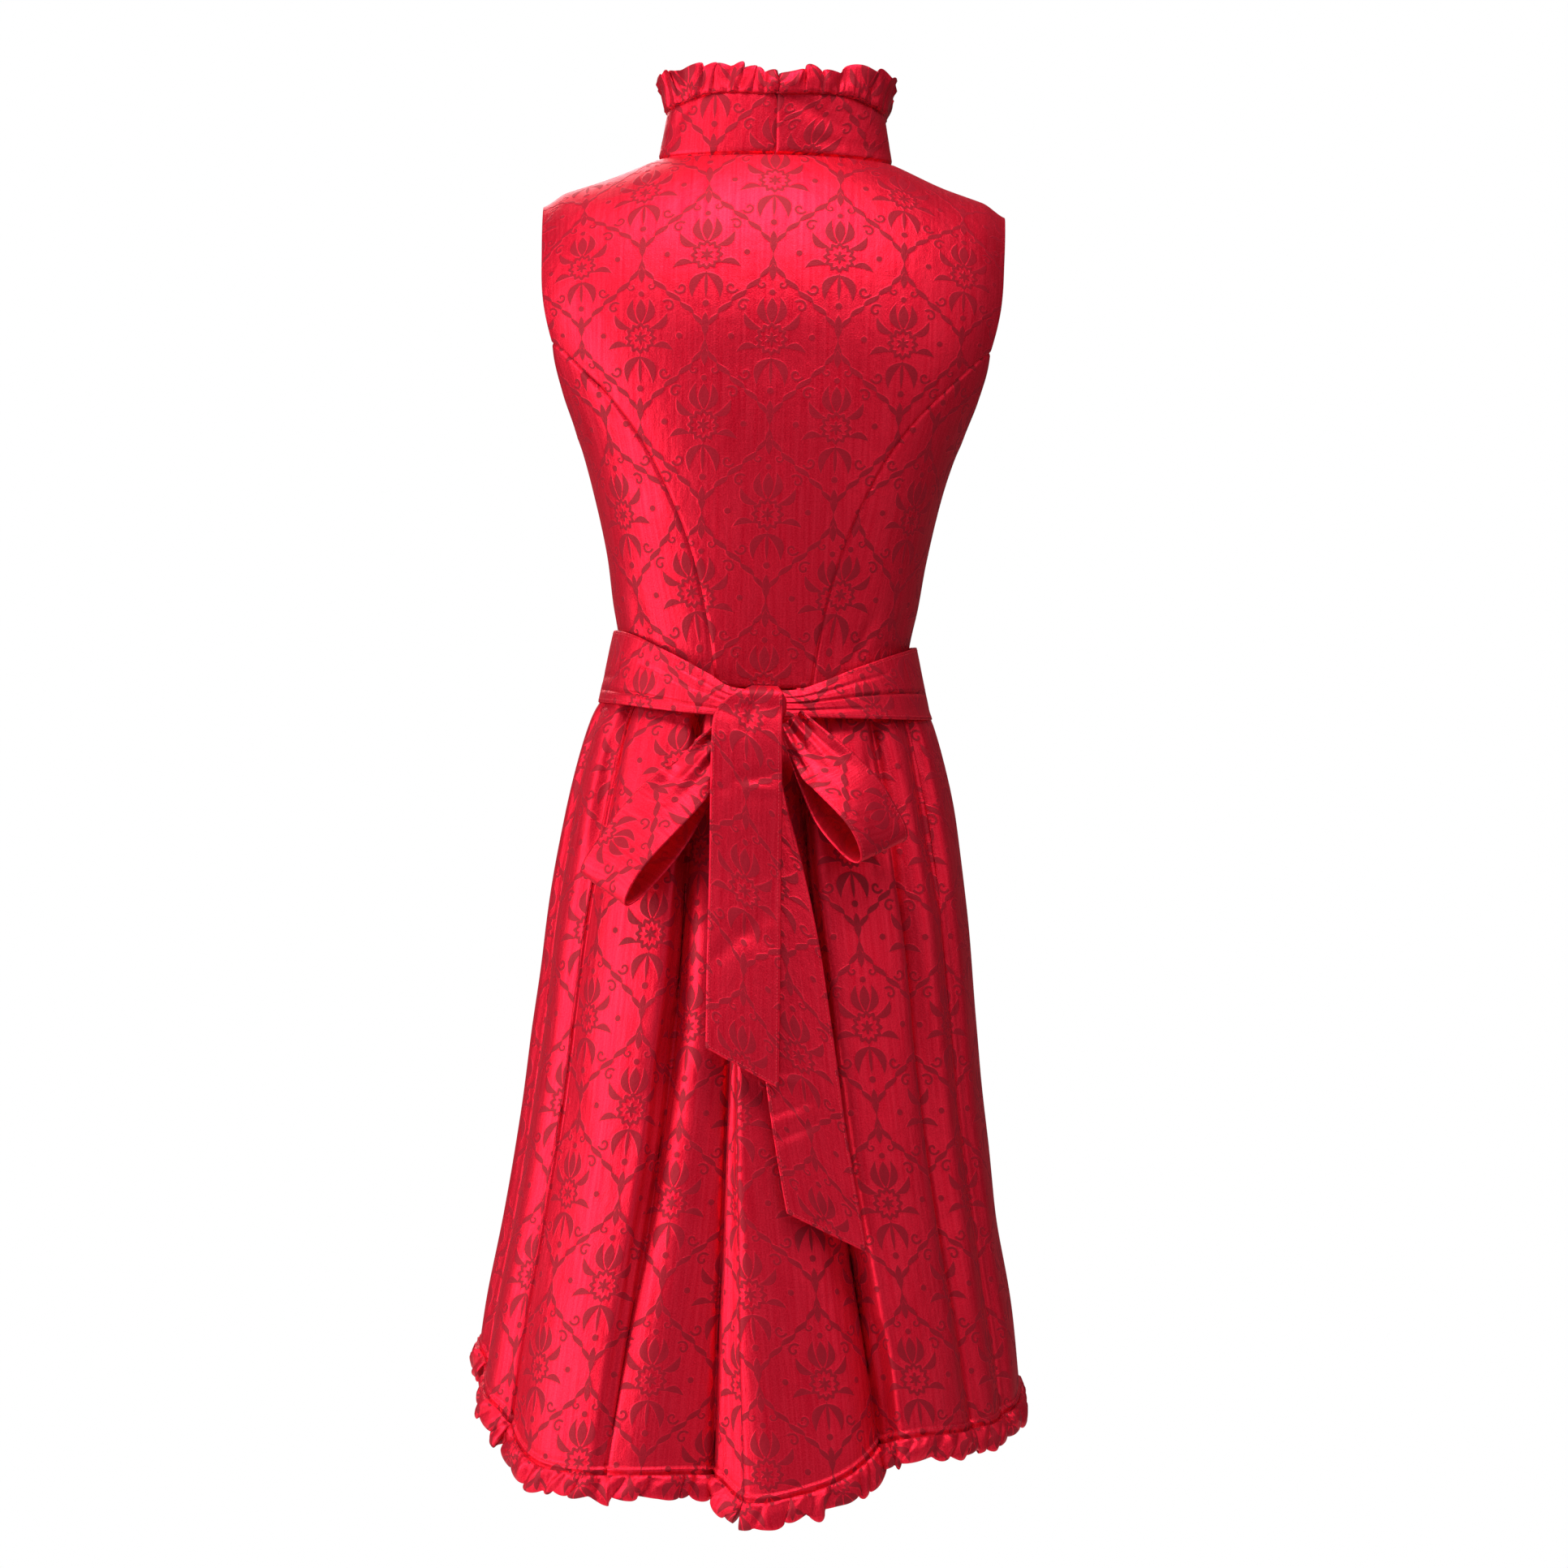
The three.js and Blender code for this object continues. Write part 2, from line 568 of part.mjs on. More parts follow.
// The skirt's outer face: up runs from 0 at the hem to 1 at the waist seam.
function skirtSurface(column, up) {
  return skirtPoint(column, mix(WAIST_Z - SEAM_GAP, hemLevel(column), 1 - up));
}

// Columns between two turns, closer together at the pleats.
function pleatColumns(from, to, steps) {
  const fine = 400;
  const sums = [0];
  for (let i = 0; i < fine; i += 1) {
    const column = mix(from, to, (i + 0.5) / fine);
    const near = PLEATS.reduce((sum, pleat) => sum + bell(wrapTurn(column - pleat.mid), 7), 0);
    sums.push(sums[i] + 1 + 1.3 * near);
  }
  return spread(0, sums[fine], steps).map((target) => {
    let i = 0;
    while (i < fine - 1 && sums[i + 1] < target) i += 1;
    return mix(from, to, (i + (target - sums[i]) / (sums[i + 1] - sums[i])) / fine);
  });
}

const SKIRT_PANELS = {
  back_left: pleatColumns(0, 90, 28),
  back_right: pleatColumns(-90, 0, 28),
  front_left: pleatColumns(90, 180, 20),
  front_right: pleatColumns(180, 270, 20),
};

function makeSkirtPanel(columns) {
  const ups = SKIRT_LEVELS.map((level) => 1 - level).reverse();
  const options = { wall: SKIRT_WALL, edges: ['start', 'end'], step: 0.05, level: true };
  return clothWall(skirtSurface, gridOf(columns, ups), options);
}

function makeHemRuffle(columns) {
  const hem = columns.map((column) => skirtSurface(column, 0));
  const down = columns.map(() => new THREE.Vector3(0, 0, -1));
  const flares = columns.map(() => HEM_FLARE);
  return makeRuffle(ruffleEdge(hem, down, flares), HEM_RUFFLE, -1);
}

// ---------------------------------------------------------------- sash
function sashPoint(turn, up) {
  const round = wrapTurn(turn);
  const half = readTable(SASH_RUN, 'turn', round, 'half');
  const z = readTable(SASH_RUN, 'turn', round, 'z') + up * half;
  const [s, c] = [Math.sin(toRadians(turn)), Math.cos(toRadians(turn))];
  const crown = 1.5 * (1 - up * up);
  const side = readTable(SASH, 'z', z, 'side') + crown;
  const reach = readTable(SASH, 'z', z, c >= 0 ? 'back' : 'front') + crown;
  const x = side * signedPower(s, SKIRT_ROUND);
  return new THREE.Vector3(x, reach * signedPower(c, SKIRT_ROUND), z);
}

function makeSash(from, to, steps) {
  const options = { wall: SASH_WALL, edges: ['start', 'end'] };
  return clothWall(sashPoint, gridOf(spread(from, to, steps), spread(-1, 1, 3)), options);
}

function makeKnot() {
  const geometry = new THREE.SphereGeometry(1, 12, 8);
  const place = geometry.attributes.position;
  for (let i = 0; i < place.count; i += 1) {
    const unit = [place.getX(i), place.getY(i), place.getZ(i)];
    const moved = unit.map((value, axis) => KNOT.at[axis]
      + KNOT.half[axis] * signedPower(Math.abs(value) < 1e-9 ? 0 : value, KNOT.round));
    place.setXYZ(i, ...moved);
  }
  geometry.computeVertexNormals();
  return geometry;
}

// A flattened loop of folded strip: way runs out along the front layer to the bend at 0.5
// and home along the back layer, across runs over the strip's width.
function makeLoop({ from, to, open, tilt, side }) {
  const [start, end] = [new THREE.Vector3(...from), new THREE.Vector3(...to)];
  const length = end.clone().sub(start).normalize();
  const front = new THREE.Vector3(0, 1, 0).addScaledVector(length, -length.y).normalize();
  const low = front.clone().cross(length).multiplyScalar(side);
  const surface = (way, across) => {
    const out = (1 - Math.cos(2 * Math.PI * way)) / 2;
    const angle = toRadians(tilt) * ease(1.15 * out);
    const layer = front.clone().multiplyScalar(Math.cos(angle)).addScaledVector(low, -Math.sin(angle));
    const width = low.clone().multiplyScalar(Math.cos(angle)).addScaledVector(front, Math.sin(angle));
    const gape = open * Math.sin(2 * Math.PI * way) * out ** 0.6 + 2.4 * Math.cos(Math.PI * way);
    return start.clone().lerp(end, out)
      .addScaledVector(layer, gape)
      .addScaledVector(width, across * readTable(LOOP_HALF, 'along', out, 'half'));
  };
  const ways = spread(0.04, 0.96, 16);
  const options = { wall: SASH_WALL * side, step: 0.01 };
  return clothWall(surface, gridOf(ways, [-1, 0, 1]), options);
}

// A tail of the sash, hanging over the skirt to a slanted end.
function makeTail(run, lowest) {
  const highest = run[run.length - 1].z;
  const surface = (across, up) => {
    const end = lowest - (TAIL_END.slant * (1 - across)) / 2;
    const z = mix(end, highest, up);
    const read = (column) => readTable(run, 'z', z, column);
    const x = read('x') + across * read('half');
    const ratio = Math.min(1, Math.abs(x) / readTable(SKIRT, 'z', z, 'side'));
    const bow = (1 - ratio ** (2 / SKIRT_ROUND)) ** (SKIRT_ROUND / 2);
    return new THREE.Vector3(x, readTable(SKIRT, 'z', z, 'back') * bow + read('proud'), z);
  };
  const ups = spread(0, 1, 14).map((t) => t ** 0.75);
  return clothWall(surface, gridOf([-1, 0, 1], ups), { wall: SASH_WALL, step: 0.01 });
}

// ---------------------------------------------------------------- the dirndl
const dirndl = new THREE.Group();
dirndl.name = 'dirndl';

function addPiece(name, geometry, colour = CLOTH_RED) {
  const material = new THREE.MeshStandardMaterial({ color: colour, roughness: 0.45, metalness: 0 });
  const mesh = new THREE.Mesh(geometry, material);
  mesh.name = name;
  dirndl.add(mesh);
}

addPiece('back_centre', makeBackCentre());
Object.entries({ left: 1, right: -1 }).forEach(([name, side]) => {
  addPiece(`side_back_${name}`, makeSidePanel(BACK, side));
  addPiece(`side_front_${name}`, makeSidePanel(FRONT, side));
  addPiece(`front_${name}`, makeFront(side));
  addPiece(`collar_${name}`, makeCollar(side));
  addPiece(`collar_ruffle_${name}`, makeCollarRuffle(side));
});
Object.entries(SKIRT_PANELS).forEach(([name, columns]) => {
  addPiece(`skirt_${name}`, makeSkirtPanel(columns));
  addPiece(`hem_ruffle_${name}`, makeHemRuffle(columns));
});
addPiece('sash_left', makeSash(0, 90, 12), SASH_RED);
addPiece('sash_right', makeSash(-90, 0, 12), SASH_RED);
addPiece('sash_front', makeSash(90, 270, 18), SASH_RED);
addPiece('sash_knot', makeKnot(), SASH_RED);
Object.entries(LOOPS).forEach(([name, loop]) => addPiece(name, makeLoop(loop), SASH_RED));
addPiece('tail_front', makeTail(TAIL_FRONT, TAIL_END.front), SASH_RED);
addPiece('tail_rear', makeTail(TAIL_REAR, TAIL_END.rear), SASH_RED);

export default dirndl;
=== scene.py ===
import math

import bmesh
import bpy
import numpy as np
from mathutils import Euler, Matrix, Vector


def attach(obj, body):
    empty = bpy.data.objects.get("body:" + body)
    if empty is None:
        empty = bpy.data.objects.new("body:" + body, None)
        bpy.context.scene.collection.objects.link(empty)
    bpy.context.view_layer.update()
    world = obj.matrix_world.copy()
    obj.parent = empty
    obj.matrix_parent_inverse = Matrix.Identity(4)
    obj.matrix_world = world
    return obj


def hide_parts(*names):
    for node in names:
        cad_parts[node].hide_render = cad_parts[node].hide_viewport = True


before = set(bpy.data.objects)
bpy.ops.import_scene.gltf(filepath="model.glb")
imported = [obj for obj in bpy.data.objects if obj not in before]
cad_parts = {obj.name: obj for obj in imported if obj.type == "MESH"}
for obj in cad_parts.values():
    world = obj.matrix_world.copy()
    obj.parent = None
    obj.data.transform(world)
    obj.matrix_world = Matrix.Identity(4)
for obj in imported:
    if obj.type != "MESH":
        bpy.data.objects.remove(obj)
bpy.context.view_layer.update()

# ---------------- driving sizes
MM = 0.001
WALL = 0.9 * MM
SASH_WALL = 1.5 * MM
SEAM_DEEP = 1.3 * MM
SEAM_WIDE = 1.5 * MM
# Extra columns or rows beside a seam, in steps of the grid.
SEAM_STEPS = (0.18, 0.38, 0.6, 0.82)
WAIST_Z = -0.4

# Bodice: height up the cloth, then the reach to the side, the back and the front.
BODY = [
    (-0.4, 0.111, 0.082, 0.1),
    (-0.37, 0.11, 0.083, 0.102),
    (-0.335, 0.1165, 0.088, 0.109),
    (-0.3, 0.122, 0.095, 0.119),
    (-0.262, 0.1305, 0.102, 0.127),
    (-0.225, 0.141, 0.106, 0.122),
    (-0.205, 0.149, 0.108, 0.116),
    (-0.18, 0.162, 0.109, 0.11),
    (-0.15, 0.175, 0.109, 0.104),
    (-0.1, 0.185, 0.108, 0.098),
    (-0.04, 0.187, 0.108, 0.096),
    (0.09, 0.187, 0.108, 0.096),
]
SIDE, BACK, FRONT = 1, 2, 3
BODY_ROUND = 0.86
CHEST_TOP = -0.15
CAP_RUN = 0.24
BODY_TOP = CHEST_TOP + CAP_RUN
TIP = {"x": 0.176, "z": -0.031, "soft_from": 0.158, "drop": 0.005}
SHOULDER = {
    "slope": 0.345, "round": 0.04, "inset": 0.006,
    "neck_rise": 0.005, "neck_from": 0.08, "neck_to": 0.135,
}
CUP = {"out": 0.011, "x": 0.078, "wide": 0.046, "h": -0.262, "tall": 0.058}
NECK = {"half": 0.09, "vee": -0.165, "vee_bend": 0.9}
ARMHOLE = {"bottom": -0.212, "seam": -0.142, "back": 23, "front": 32, "tip": 21.3}

# Princess seams: height, and half the distance between the pair.
BACK_SEAM = [
    (-0.4, 0.036),
    (-0.364, 0.041),
    (-0.325, 0.049),
    (-0.287, 0.061),
    (-0.25, 0.0775),
    (-0.222, 0.093),
    (-0.195, 0.113),
    (-0.17, 0.137),
]
FRONT_SEAM = [
    (-0.4, 0.05),
    (-0.34, 0.062),
    (-0.3, 0.073),
    (-0.262, 0.083),
    (-0.23, 0.092),
    (-0.2, 0.106),
    (-0.17, 0.127),
]

# Collar: place along the neck seam (0 centre back, 1 shoulder, 2 foot of the neckline), then
# the top edge's rise, its place outward and backward, and how far its ruffle leans out.
COLLAR = [
    (0, 0.0455, 0, -0.003, 0.003),
    (0.5, 0.047, -0.004, -0.003, 0.01),
    (1, 0.0385, -0.007, -0.002, 0.021),
    (1.3, 0.0325, -0.001, -0.009, 0.021),
    (1.6, 0.025, 0.002, -0.014, 0.015),
    (2, 0.012, 0, -0.008, 0.003),
]
COLLAR_RISE, COLLAR_OUT, COLLAR_BACK, COLLAR_FLARE = 1, 2, 3, 4
COLLAR_FOOT = 1.93

# Skirt without folds: level, then the reach to the side, the back and the front.
SKIRT = [
    (-1.02, 0.217, 0.184, 0.17),
    (-0.95, 0.211, 0.178, 0.165),
    (-0.871, 0.201, 0.171, 0.159),
    (-0.797, 0.188, 0.164, 0.152),
    (-0.722, 0.177, 0.157, 0.146),
    (-0.65, 0.169, 0.15, 0.141),
    (-0.574, 0.161, 0.138, 0.136),
    (-0.5, 0.15, 0.12, 0.13),
    (-0.462, 0.142, 0.108, 0.124),
    (-0.427, 0.132, 0.096, 0.117),
    (-0.412, 0.1245, 0.088, 0.108),
    (-0.4, 0.113, 0.084, 0.104),
]
SKIRT_ROUND = 0.9

# Hem: turn and level.
HEM = [
    (-180, -0.895),
    (-120, -0.902),
    (-95, -0.920),
    (-80, -0.933),
    (-68, -0.941),
    (-54, -0.945),
    (-38, -0.946),
    (-30, -0.953),
    (-15, -0.982),
    (-3, -0.992),
    (5, -0.977),
    (40, -0.977),
    (52, -0.966),
    (62, -0.945),
    (75, -0.927),
    (90, -0.905),
    (120, -0.897),
    (180, -0.895),
]

# Pleats: the trough's turn at the waist, at mid height and at the hem, its depth at the same
# levels, its half width, and how far the bank on its left (+) or right (-) leans over it.
PLEATS = [
    (4, 4, 4, 0.005, 0.013, 0.03, 0.017, -0.015),
    (20, 22, 28, 0.007, 0.022, 0.004, 0.017, 0.015),
    (53, 55, 59, 0.012, 0.008, 0.012, 0.023, 0.004),
    (78, 79, 82, 0.006, 0.008, 0.011, 0.019, 0.006),
    (-10, -18, -30, 0.006, 0.027, 0.024, 0.017, -0.015),
    (-38, -45, -52, 0.007, 0.02, 0.009, 0.016, 0.004),
    (-60, -64, -68, 0.006, 0.008, 0.009, 0.02, -0.006),
    (-92, -98, -102, 0.005, 0.012, 0.018, 0.016, -0.006),
    (104, 106, 107, 0.006, 0.016, 0.02, 0.017, -0.01),
    (131, 133, 131, 0.006, 0.017, 0.024, 0.017, -0.011),
    (159, 158, 155, 0.006, 0.018, 0.02, 0.018, -0.012),
    (-113, -118, -122, 0.006, 0.017, 0.022, 0.017, 0.01),
    (-134, -135, -138, 0.006, 0.016, 0.019, 0.017, 0.011),
    (-160, -161, -163, 0.006, 0.019, 0.025, 0.018, 0.012),
]
PLEAT_HEM, PLEAT_MID, PLEAT_TOP = -0.985, -0.64, -0.425
# How much of a pleat's width and of its lean there is at the waist, at mid height, at the hem.
PLEAT_SHARE, LEAN_SHARE = (0.45, 1, 1.35), (0.3, 1, 0.9)
# How far round a pleat, in degrees, the cloth follows it as it wanders.
PLEAT_FOLLOW = 16
# A pleat's trough, the drop beyond its lap, the slit beside the lap, and the bank that leans.
LAP = {
    "trough": 0.68, "drop": 0.34, "full_lean": 0.014, "run": 0.034, "edge": 0.004,
    "beyond": 1.1, "over": 0.62, "slit": 0.25, "slit_at": 0.0022, "slit_wide": 0.0018,
    "bank_at": 1.15, "bank_wide": 0.85,
}
HEM_FLARE = 2.5 * MM

# Sash: level of its face, then its reach; and by turn, its middle line and half height.
SASH = [
    (-0.44, 0.131, 0.112, 0.125),
    (-0.422, 0.13, 0.1065, 0.1215),
    (-0.412, 0.126, 0.102, 0.1185),
    (-0.385, 0.119, 0.095, 0.112),
    (-0.35, 0.114, 0.0905, 0.11),
]
SASH_RUN = [
    (-180, -0.39, 0.027),
    (-90, -0.3925, 0.027),
    (-60, -0.396, 0.0245),
    (-35, -0.402, 0.019),
    (-18, -0.4085, 0.013),
    (-9, -0.4115, 0.01),
    (9, -0.411, 0.0105),
    (18, -0.4055, 0.015),
    (35, -0.3965, 0.021),
    (60, -0.3875, 0.026),
    (90, -0.385, 0.027),
    (180, -0.39, 0.027),
]
KNOT = {"at": (0, 0.115, -0.414), "half": (0.0175, 0.0095, 0.013), "round": 0.75}
LOOPS = {
    "bow_loop_left": {
        "from": (0.021, 0.1175, -0.43), "to": (0.114, 0.133, -0.552),
        "open": 0.015, "tilt": 42, "side": 1,
    },
    "bow_loop_right": {
        "from": (-0.02, 0.118, -0.424), "to": (-0.09, 0.141, -0.519),
        "open": 0.017, "tilt": 46, "side": -1,
    },
}
# Half the width of a loop's strip, by how far out it is on the loop.
LOOP_HALF = [(0, 0.011), (0.35, 0.02), (0.7, 0.0255), (1, 0.0265)]

# Tails: level, middle line, half width, and how far the face stands proud of the skirt.
TAIL_FRONT = [
    (-0.7, 0.009, 0.0265, 0.008),
    (-0.6, 0.01, 0.0265, 0.0095),
    (-0.54, 0.0105, 0.026, 0.0145),
    (-0.48, 0.011, 0.026, 0.0285),
    (-0.44, 0.0115, 0.0255, 0.0385),
    (-0.42, 0.0105, 0.0245, 0.042),
    (-0.409, 0.006, 0.02, 0.046),
    (-0.403, 0.001, 0.0145, 0.0455),
    (-0.399, -0.001, 0.0095, 0.038),
]
TAIL_REAR = [
    (-0.83, -0.062, 0.0265, 0.0044),
    (-0.73, -0.042, 0.0265, 0.0044),
    (-0.65, -0.029, 0.0265, 0.0045),
    (-0.59, -0.019, 0.026, 0.0046),
    (-0.53, -0.007, 0.024, 0.005),
    (-0.47, 0.005, 0.02, 0.006),
    (-0.43, 0.003, 0.014, 0.009),
]
TAIL_END = {"front": -0.664, "rear": -0.782, "slant": 0.028}


# ---------------- small mathematics
def read(table, at, column=1):
    """A smooth curve through one column of a table whose first column rises: between two rows
    it is a cubic that keeps the slope at both."""
    rows = np.array(table)
    key, value = rows[:, 0], rows[:, column]
    order = np.arange(len(key))
    before, after = np.maximum(order - 1, 0), np.minimum(order + 1, len(key) - 1)
    slope = (value[after] - value[before]) / (key[after] - key[before])
    place = np.clip(at, key[0], key[-1])
    i = np.clip(np.searchsorted(key, place) - 1, 0, len(key) - 2)
    run = key[i + 1] - key[i]
    t = (place - key[i]) / run
    curl = (1 - t) * slope[i] - t * slope[i + 1]
    return mix(value[i], value[i + 1], ease(t)) + run * t * (1 - t) * curl


def ease(t):
    """From 0 to 1, with a soft start and a soft end."""
    s = np.clip(t, 0, 1)
    return s * s * (3 - 2 * s)


def bell(distance, wide):
    return np.exp(-((distance / wide) ** 2))


def mix(a, b, t):
    return a + (b - a) * t


def signed_power(value, power):
    return np.sign(value) * np.abs(value) ** power


def wrap_turn(turn):
    """The same turn between -180 and 180."""
    return turn - 360 * np.round(turn / 360)


def vec(x, y, z):
    return np.stack(np.broadcast_arrays(x, y, z), axis=-1)


def unit(vectors):
    return vectors / np.maximum(np.linalg.norm(vectors, axis=-1, keepdims=True), 1e-12)


def turned(degrees):
    """Sine and cosine of an angle."""
    return np.sin(np.radians(degrees)), np.cos(np.radians(degrees))


def sampled(at, length, rows):
    """A line of vectors, one to each length, read off at these lengths."""
    return np.stack([np.interp(at, length, row) for row in rows.T], axis=-1)


def noise(x, y, seed):
    """Smooth noise between about -1 and 1, one bump to each unit of x and y. It repeats after
    as many units as the table of knots is long."""
    size = 64
    knots = np.random.default_rng(seed).uniform(-1, 1, (size, size))
    i, j = np.floor(x).astype(int), np.floor(y).astype(int)
    s, t = ease(x - i), ease(y - j)
    low = mix(knots[i % size, j % size], knots[(i + 1) % size, j % size], s)
    high = mix(knots[i % size, (j + 1) % size], knots[(i + 1) % size, (j + 1) % size], s)
    return mix(low, high, t)


def spread(start, end, steps, fine_start=False, fine_end=False):
    """Places from start to end, closer together at an end that carries a seam."""
    near = np.array(SEAM_STEPS) / steps
    extra = [near] * fine_start + [1 - near] * fine_end
    return mix(start, end, np.unique(np.concatenate([np.linspace(0, 1, steps + 1), *extra])))


def section(table, turn, level, power, proud=0):
    """Sideways and backward place round a form at a level: a rounded oval whose reach to the
    side, the back and the front comes from the form's table."""
    s, c = turned(turn)
    depth = np.where(c >= 0, read(table, level, BACK), read(table, level, FRONT)) + proud
    return (read(table, level, SIDE) + proud) * signed_power(s, power), depth * signed_power(c, power)


# ---------------- sheets of cloth
# A sheet is a grid of points on the outer face. Seen from outside, its columns follow each
# other to the left and its rows go up: round the wearer, that is right, back, left, front.
def normals(points):
    """Outward unit normals of a grid."""
    return unit(np.cross(np.gradient(points, axis=1), np.gradient(points, axis=0)))


def mirrored(points):
    """The same sheet on the wearer's other side, its columns still running the same way round."""
    return points[::-1] * [-1, 1, 1]


def arc(points, axis=0):
    """Length along the grid's columns or rows from the first one."""
    steps = np.linalg.norm(np.diff(points, axis=axis), axis=-1)
    start = np.zeros_like(np.take(steps, [0], axis=axis))
    return np.concatenate([start, np.cumsum(steps, axis=axis)], axis=axis)


def flat_places(points, column=0):
    """Where each point lies on the flat cloth: across from one column, and up."""
    across = arc(points)
    return np.stack([across - across[[column]], arc(points, 1)], axis=-1)


def gained(points, way, axis):
    """How far each point has come in this way over the grid, from the first column or row."""
    steps = np.diff(points, axis=axis)
    way = np.moveaxis(way, axis, 0)
    gain = np.sum(steps * np.moveaxis((way[1:] + way[:-1]) / 2, 0, axis), axis=-1)
    start = np.zeros_like(np.take(gain, [0], axis=axis))
    return np.concatenate([start, np.cumsum(gain, axis=axis)], axis=axis)


def cut_places(points, column=0):
    """The same for a shaped panel: the cloth rolled out flat from one column, its grain upright."""
    out = normals(points)
    chord = unit((points[-1] - points[0]).mean(axis=0) * (1, 1, 0))
    across = unit(chord - out * (out @ chord)[..., None])
    places = []
    for way in (across, np.cross(across, out)):
        round_gain = gained(points, way, 0)
        places.append(round_gain - round_gain[[column]] + gained(points, way, 1)[[column]])
    return np.stack(places, axis=-1)


def from_edge(points, edge):
    """Distance over the cloth from one edge of the grid: start, end, bottom or top."""
    axis = 0 if edge in ("start", "end") else 1
    length = arc(points, axis)
    far = np.take(length, [-1], axis=axis)
    return length if edge in ("start", "bottom") else far - length


def sunk(points, sink):
    """The sheet moved inward by this much."""
    return points - normals(points) * np.broadcast_to(sink, points.shape[:2])[..., None]


def seamed(points, edges, deep=SEAM_DEEP, wide=SEAM_WIDE, share=1):
    """The sheet drawn in along seams at these edges."""
    valley = [deep * bell(from_edge(points, edge), wide) for edge in edges]
    return sunk(points, np.max(valley, axis=0) * share)


def crease(x, z, row):
    """A soft trough that fades out at both ends, or a ridge where its depth is negative. Its
    row has the x and z of both ends, then its half width and depth in millimetres."""
    x0, z0, x1, z1, wide, deep = row
    length = math.hypot(x1 - x0, z1 - z0)
    along = ((x - x0) * (x1 - x0) + (z - z0) * (z1 - z0)) / length**2
    away = ((x - x0) * (z1 - z0) - (z - z0) * (x1 - x0)) / length
    return deep * MM * np.sin(np.pi * np.clip(along, 0, 1)) ** 0.6 * bell(away, wide * MM)


UNEVEN = {"across": 0.045, "up": 0.06, "shift": 9, "seed": 4}


def worn(points, table=(), uneven=0.5 * MM):
    """The sheet with its creases, placed as they show square on, and a little unevenness."""
    x, y, z = np.moveaxis(points, -1, 0)
    across, up = x / UNEVEN["across"] + UNEVEN["shift"], (z + y) / UNEVEN["up"] + UNEVEN["shift"]
    sink = uneven * noise(across, up, UNEVEN["seed"])
    return sunk(points, sink + sum(crease(x, z, row) for row in table))


def grid_faces(index):
    """The quads between neighbouring columns and rows of a grid of point numbers."""
    corners = [index[:-1, :-1], index[1:, :-1], index[1:, 1:], index[:-1, 1:]]
    return np.stack(corners, axis=-1).reshape(-1, 4)


def ring_faces(index):
    """The same where each column of the grid closes on itself."""
    return grid_faces(np.column_stack([index, index[:, 0]]))


def placed(name, data):
    """A new object of this data, in the scene."""
    thing = bpy.data.objects.new(name, data)
    bpy.context.collection.objects.link(thing)
    return thing


def cloth_piece(name, mesh, cloth, material):
    """A piece of the dirndl, from its mesh and each point's place on the flat cloth."""
    mesh.shade_smooth()
    place = mesh.attributes.new("cloth", "FLOAT_VECTOR", "POINT")
    place.data.foreach_set("vector", cloth.ravel())
    mesh.materials.append(material)
    piece = placed(name, mesh)
    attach(piece, "root")
    return piece


def make_mesh(name, points, faces, cloth, bake, material):
    """A closed piece from arrays: its points, its quads, each point's place on the flat cloth,
    and each corner's place in the baked picture."""
    a, b, c, d = (points[faces[:, k]] for k in range(4))
    if np.einsum("ij,ij->", a + b + c + d, np.cross(c - a, d - b)) < 0:
        faces, bake = faces[:, ::-1], bake[:, ::-1]
    mesh = bpy.data.meshes.new(name)
    mesh.vertices.add(len(points))
    mesh.vertices.foreach_set("co", points.ravel())
    mesh.loops.add(faces.size)
    mesh.loops.foreach_set("vertex_index", faces.ravel())
    mesh.polygons.add(len(faces))
    mesh.polygons.foreach_set("loop_start", np.arange(0, faces.size, 4))
    mesh.update(calc_edges=True)
    mesh.uv_layers.new(name="OFBake").uv.foreach_set("vector", bake.ravel())
    return cloth_piece(name, mesh, cloth, material)


# The baked picture: its margins, and the heights between which the two faces of a sheet lie.
BAKE_LOW, BAKE_HIGH = 0.004, 0.996
OUTER_BAKE, INNER_BAKE = (BAKE_LOW, 0.66), (0.67, BAKE_HIGH)


def bake_square(columns, rows, heights):
    """Places in the baked picture for a grid, between two heights."""
    u, v = np.linspace(BAKE_LOW, BAKE_HIGH, columns), np.linspace(*heights, rows)
    return np.stack(np.meshgrid(u, v, indexing="ij"), axis=-1).reshape(-1, 2)


RIM_ROUND = 0.4


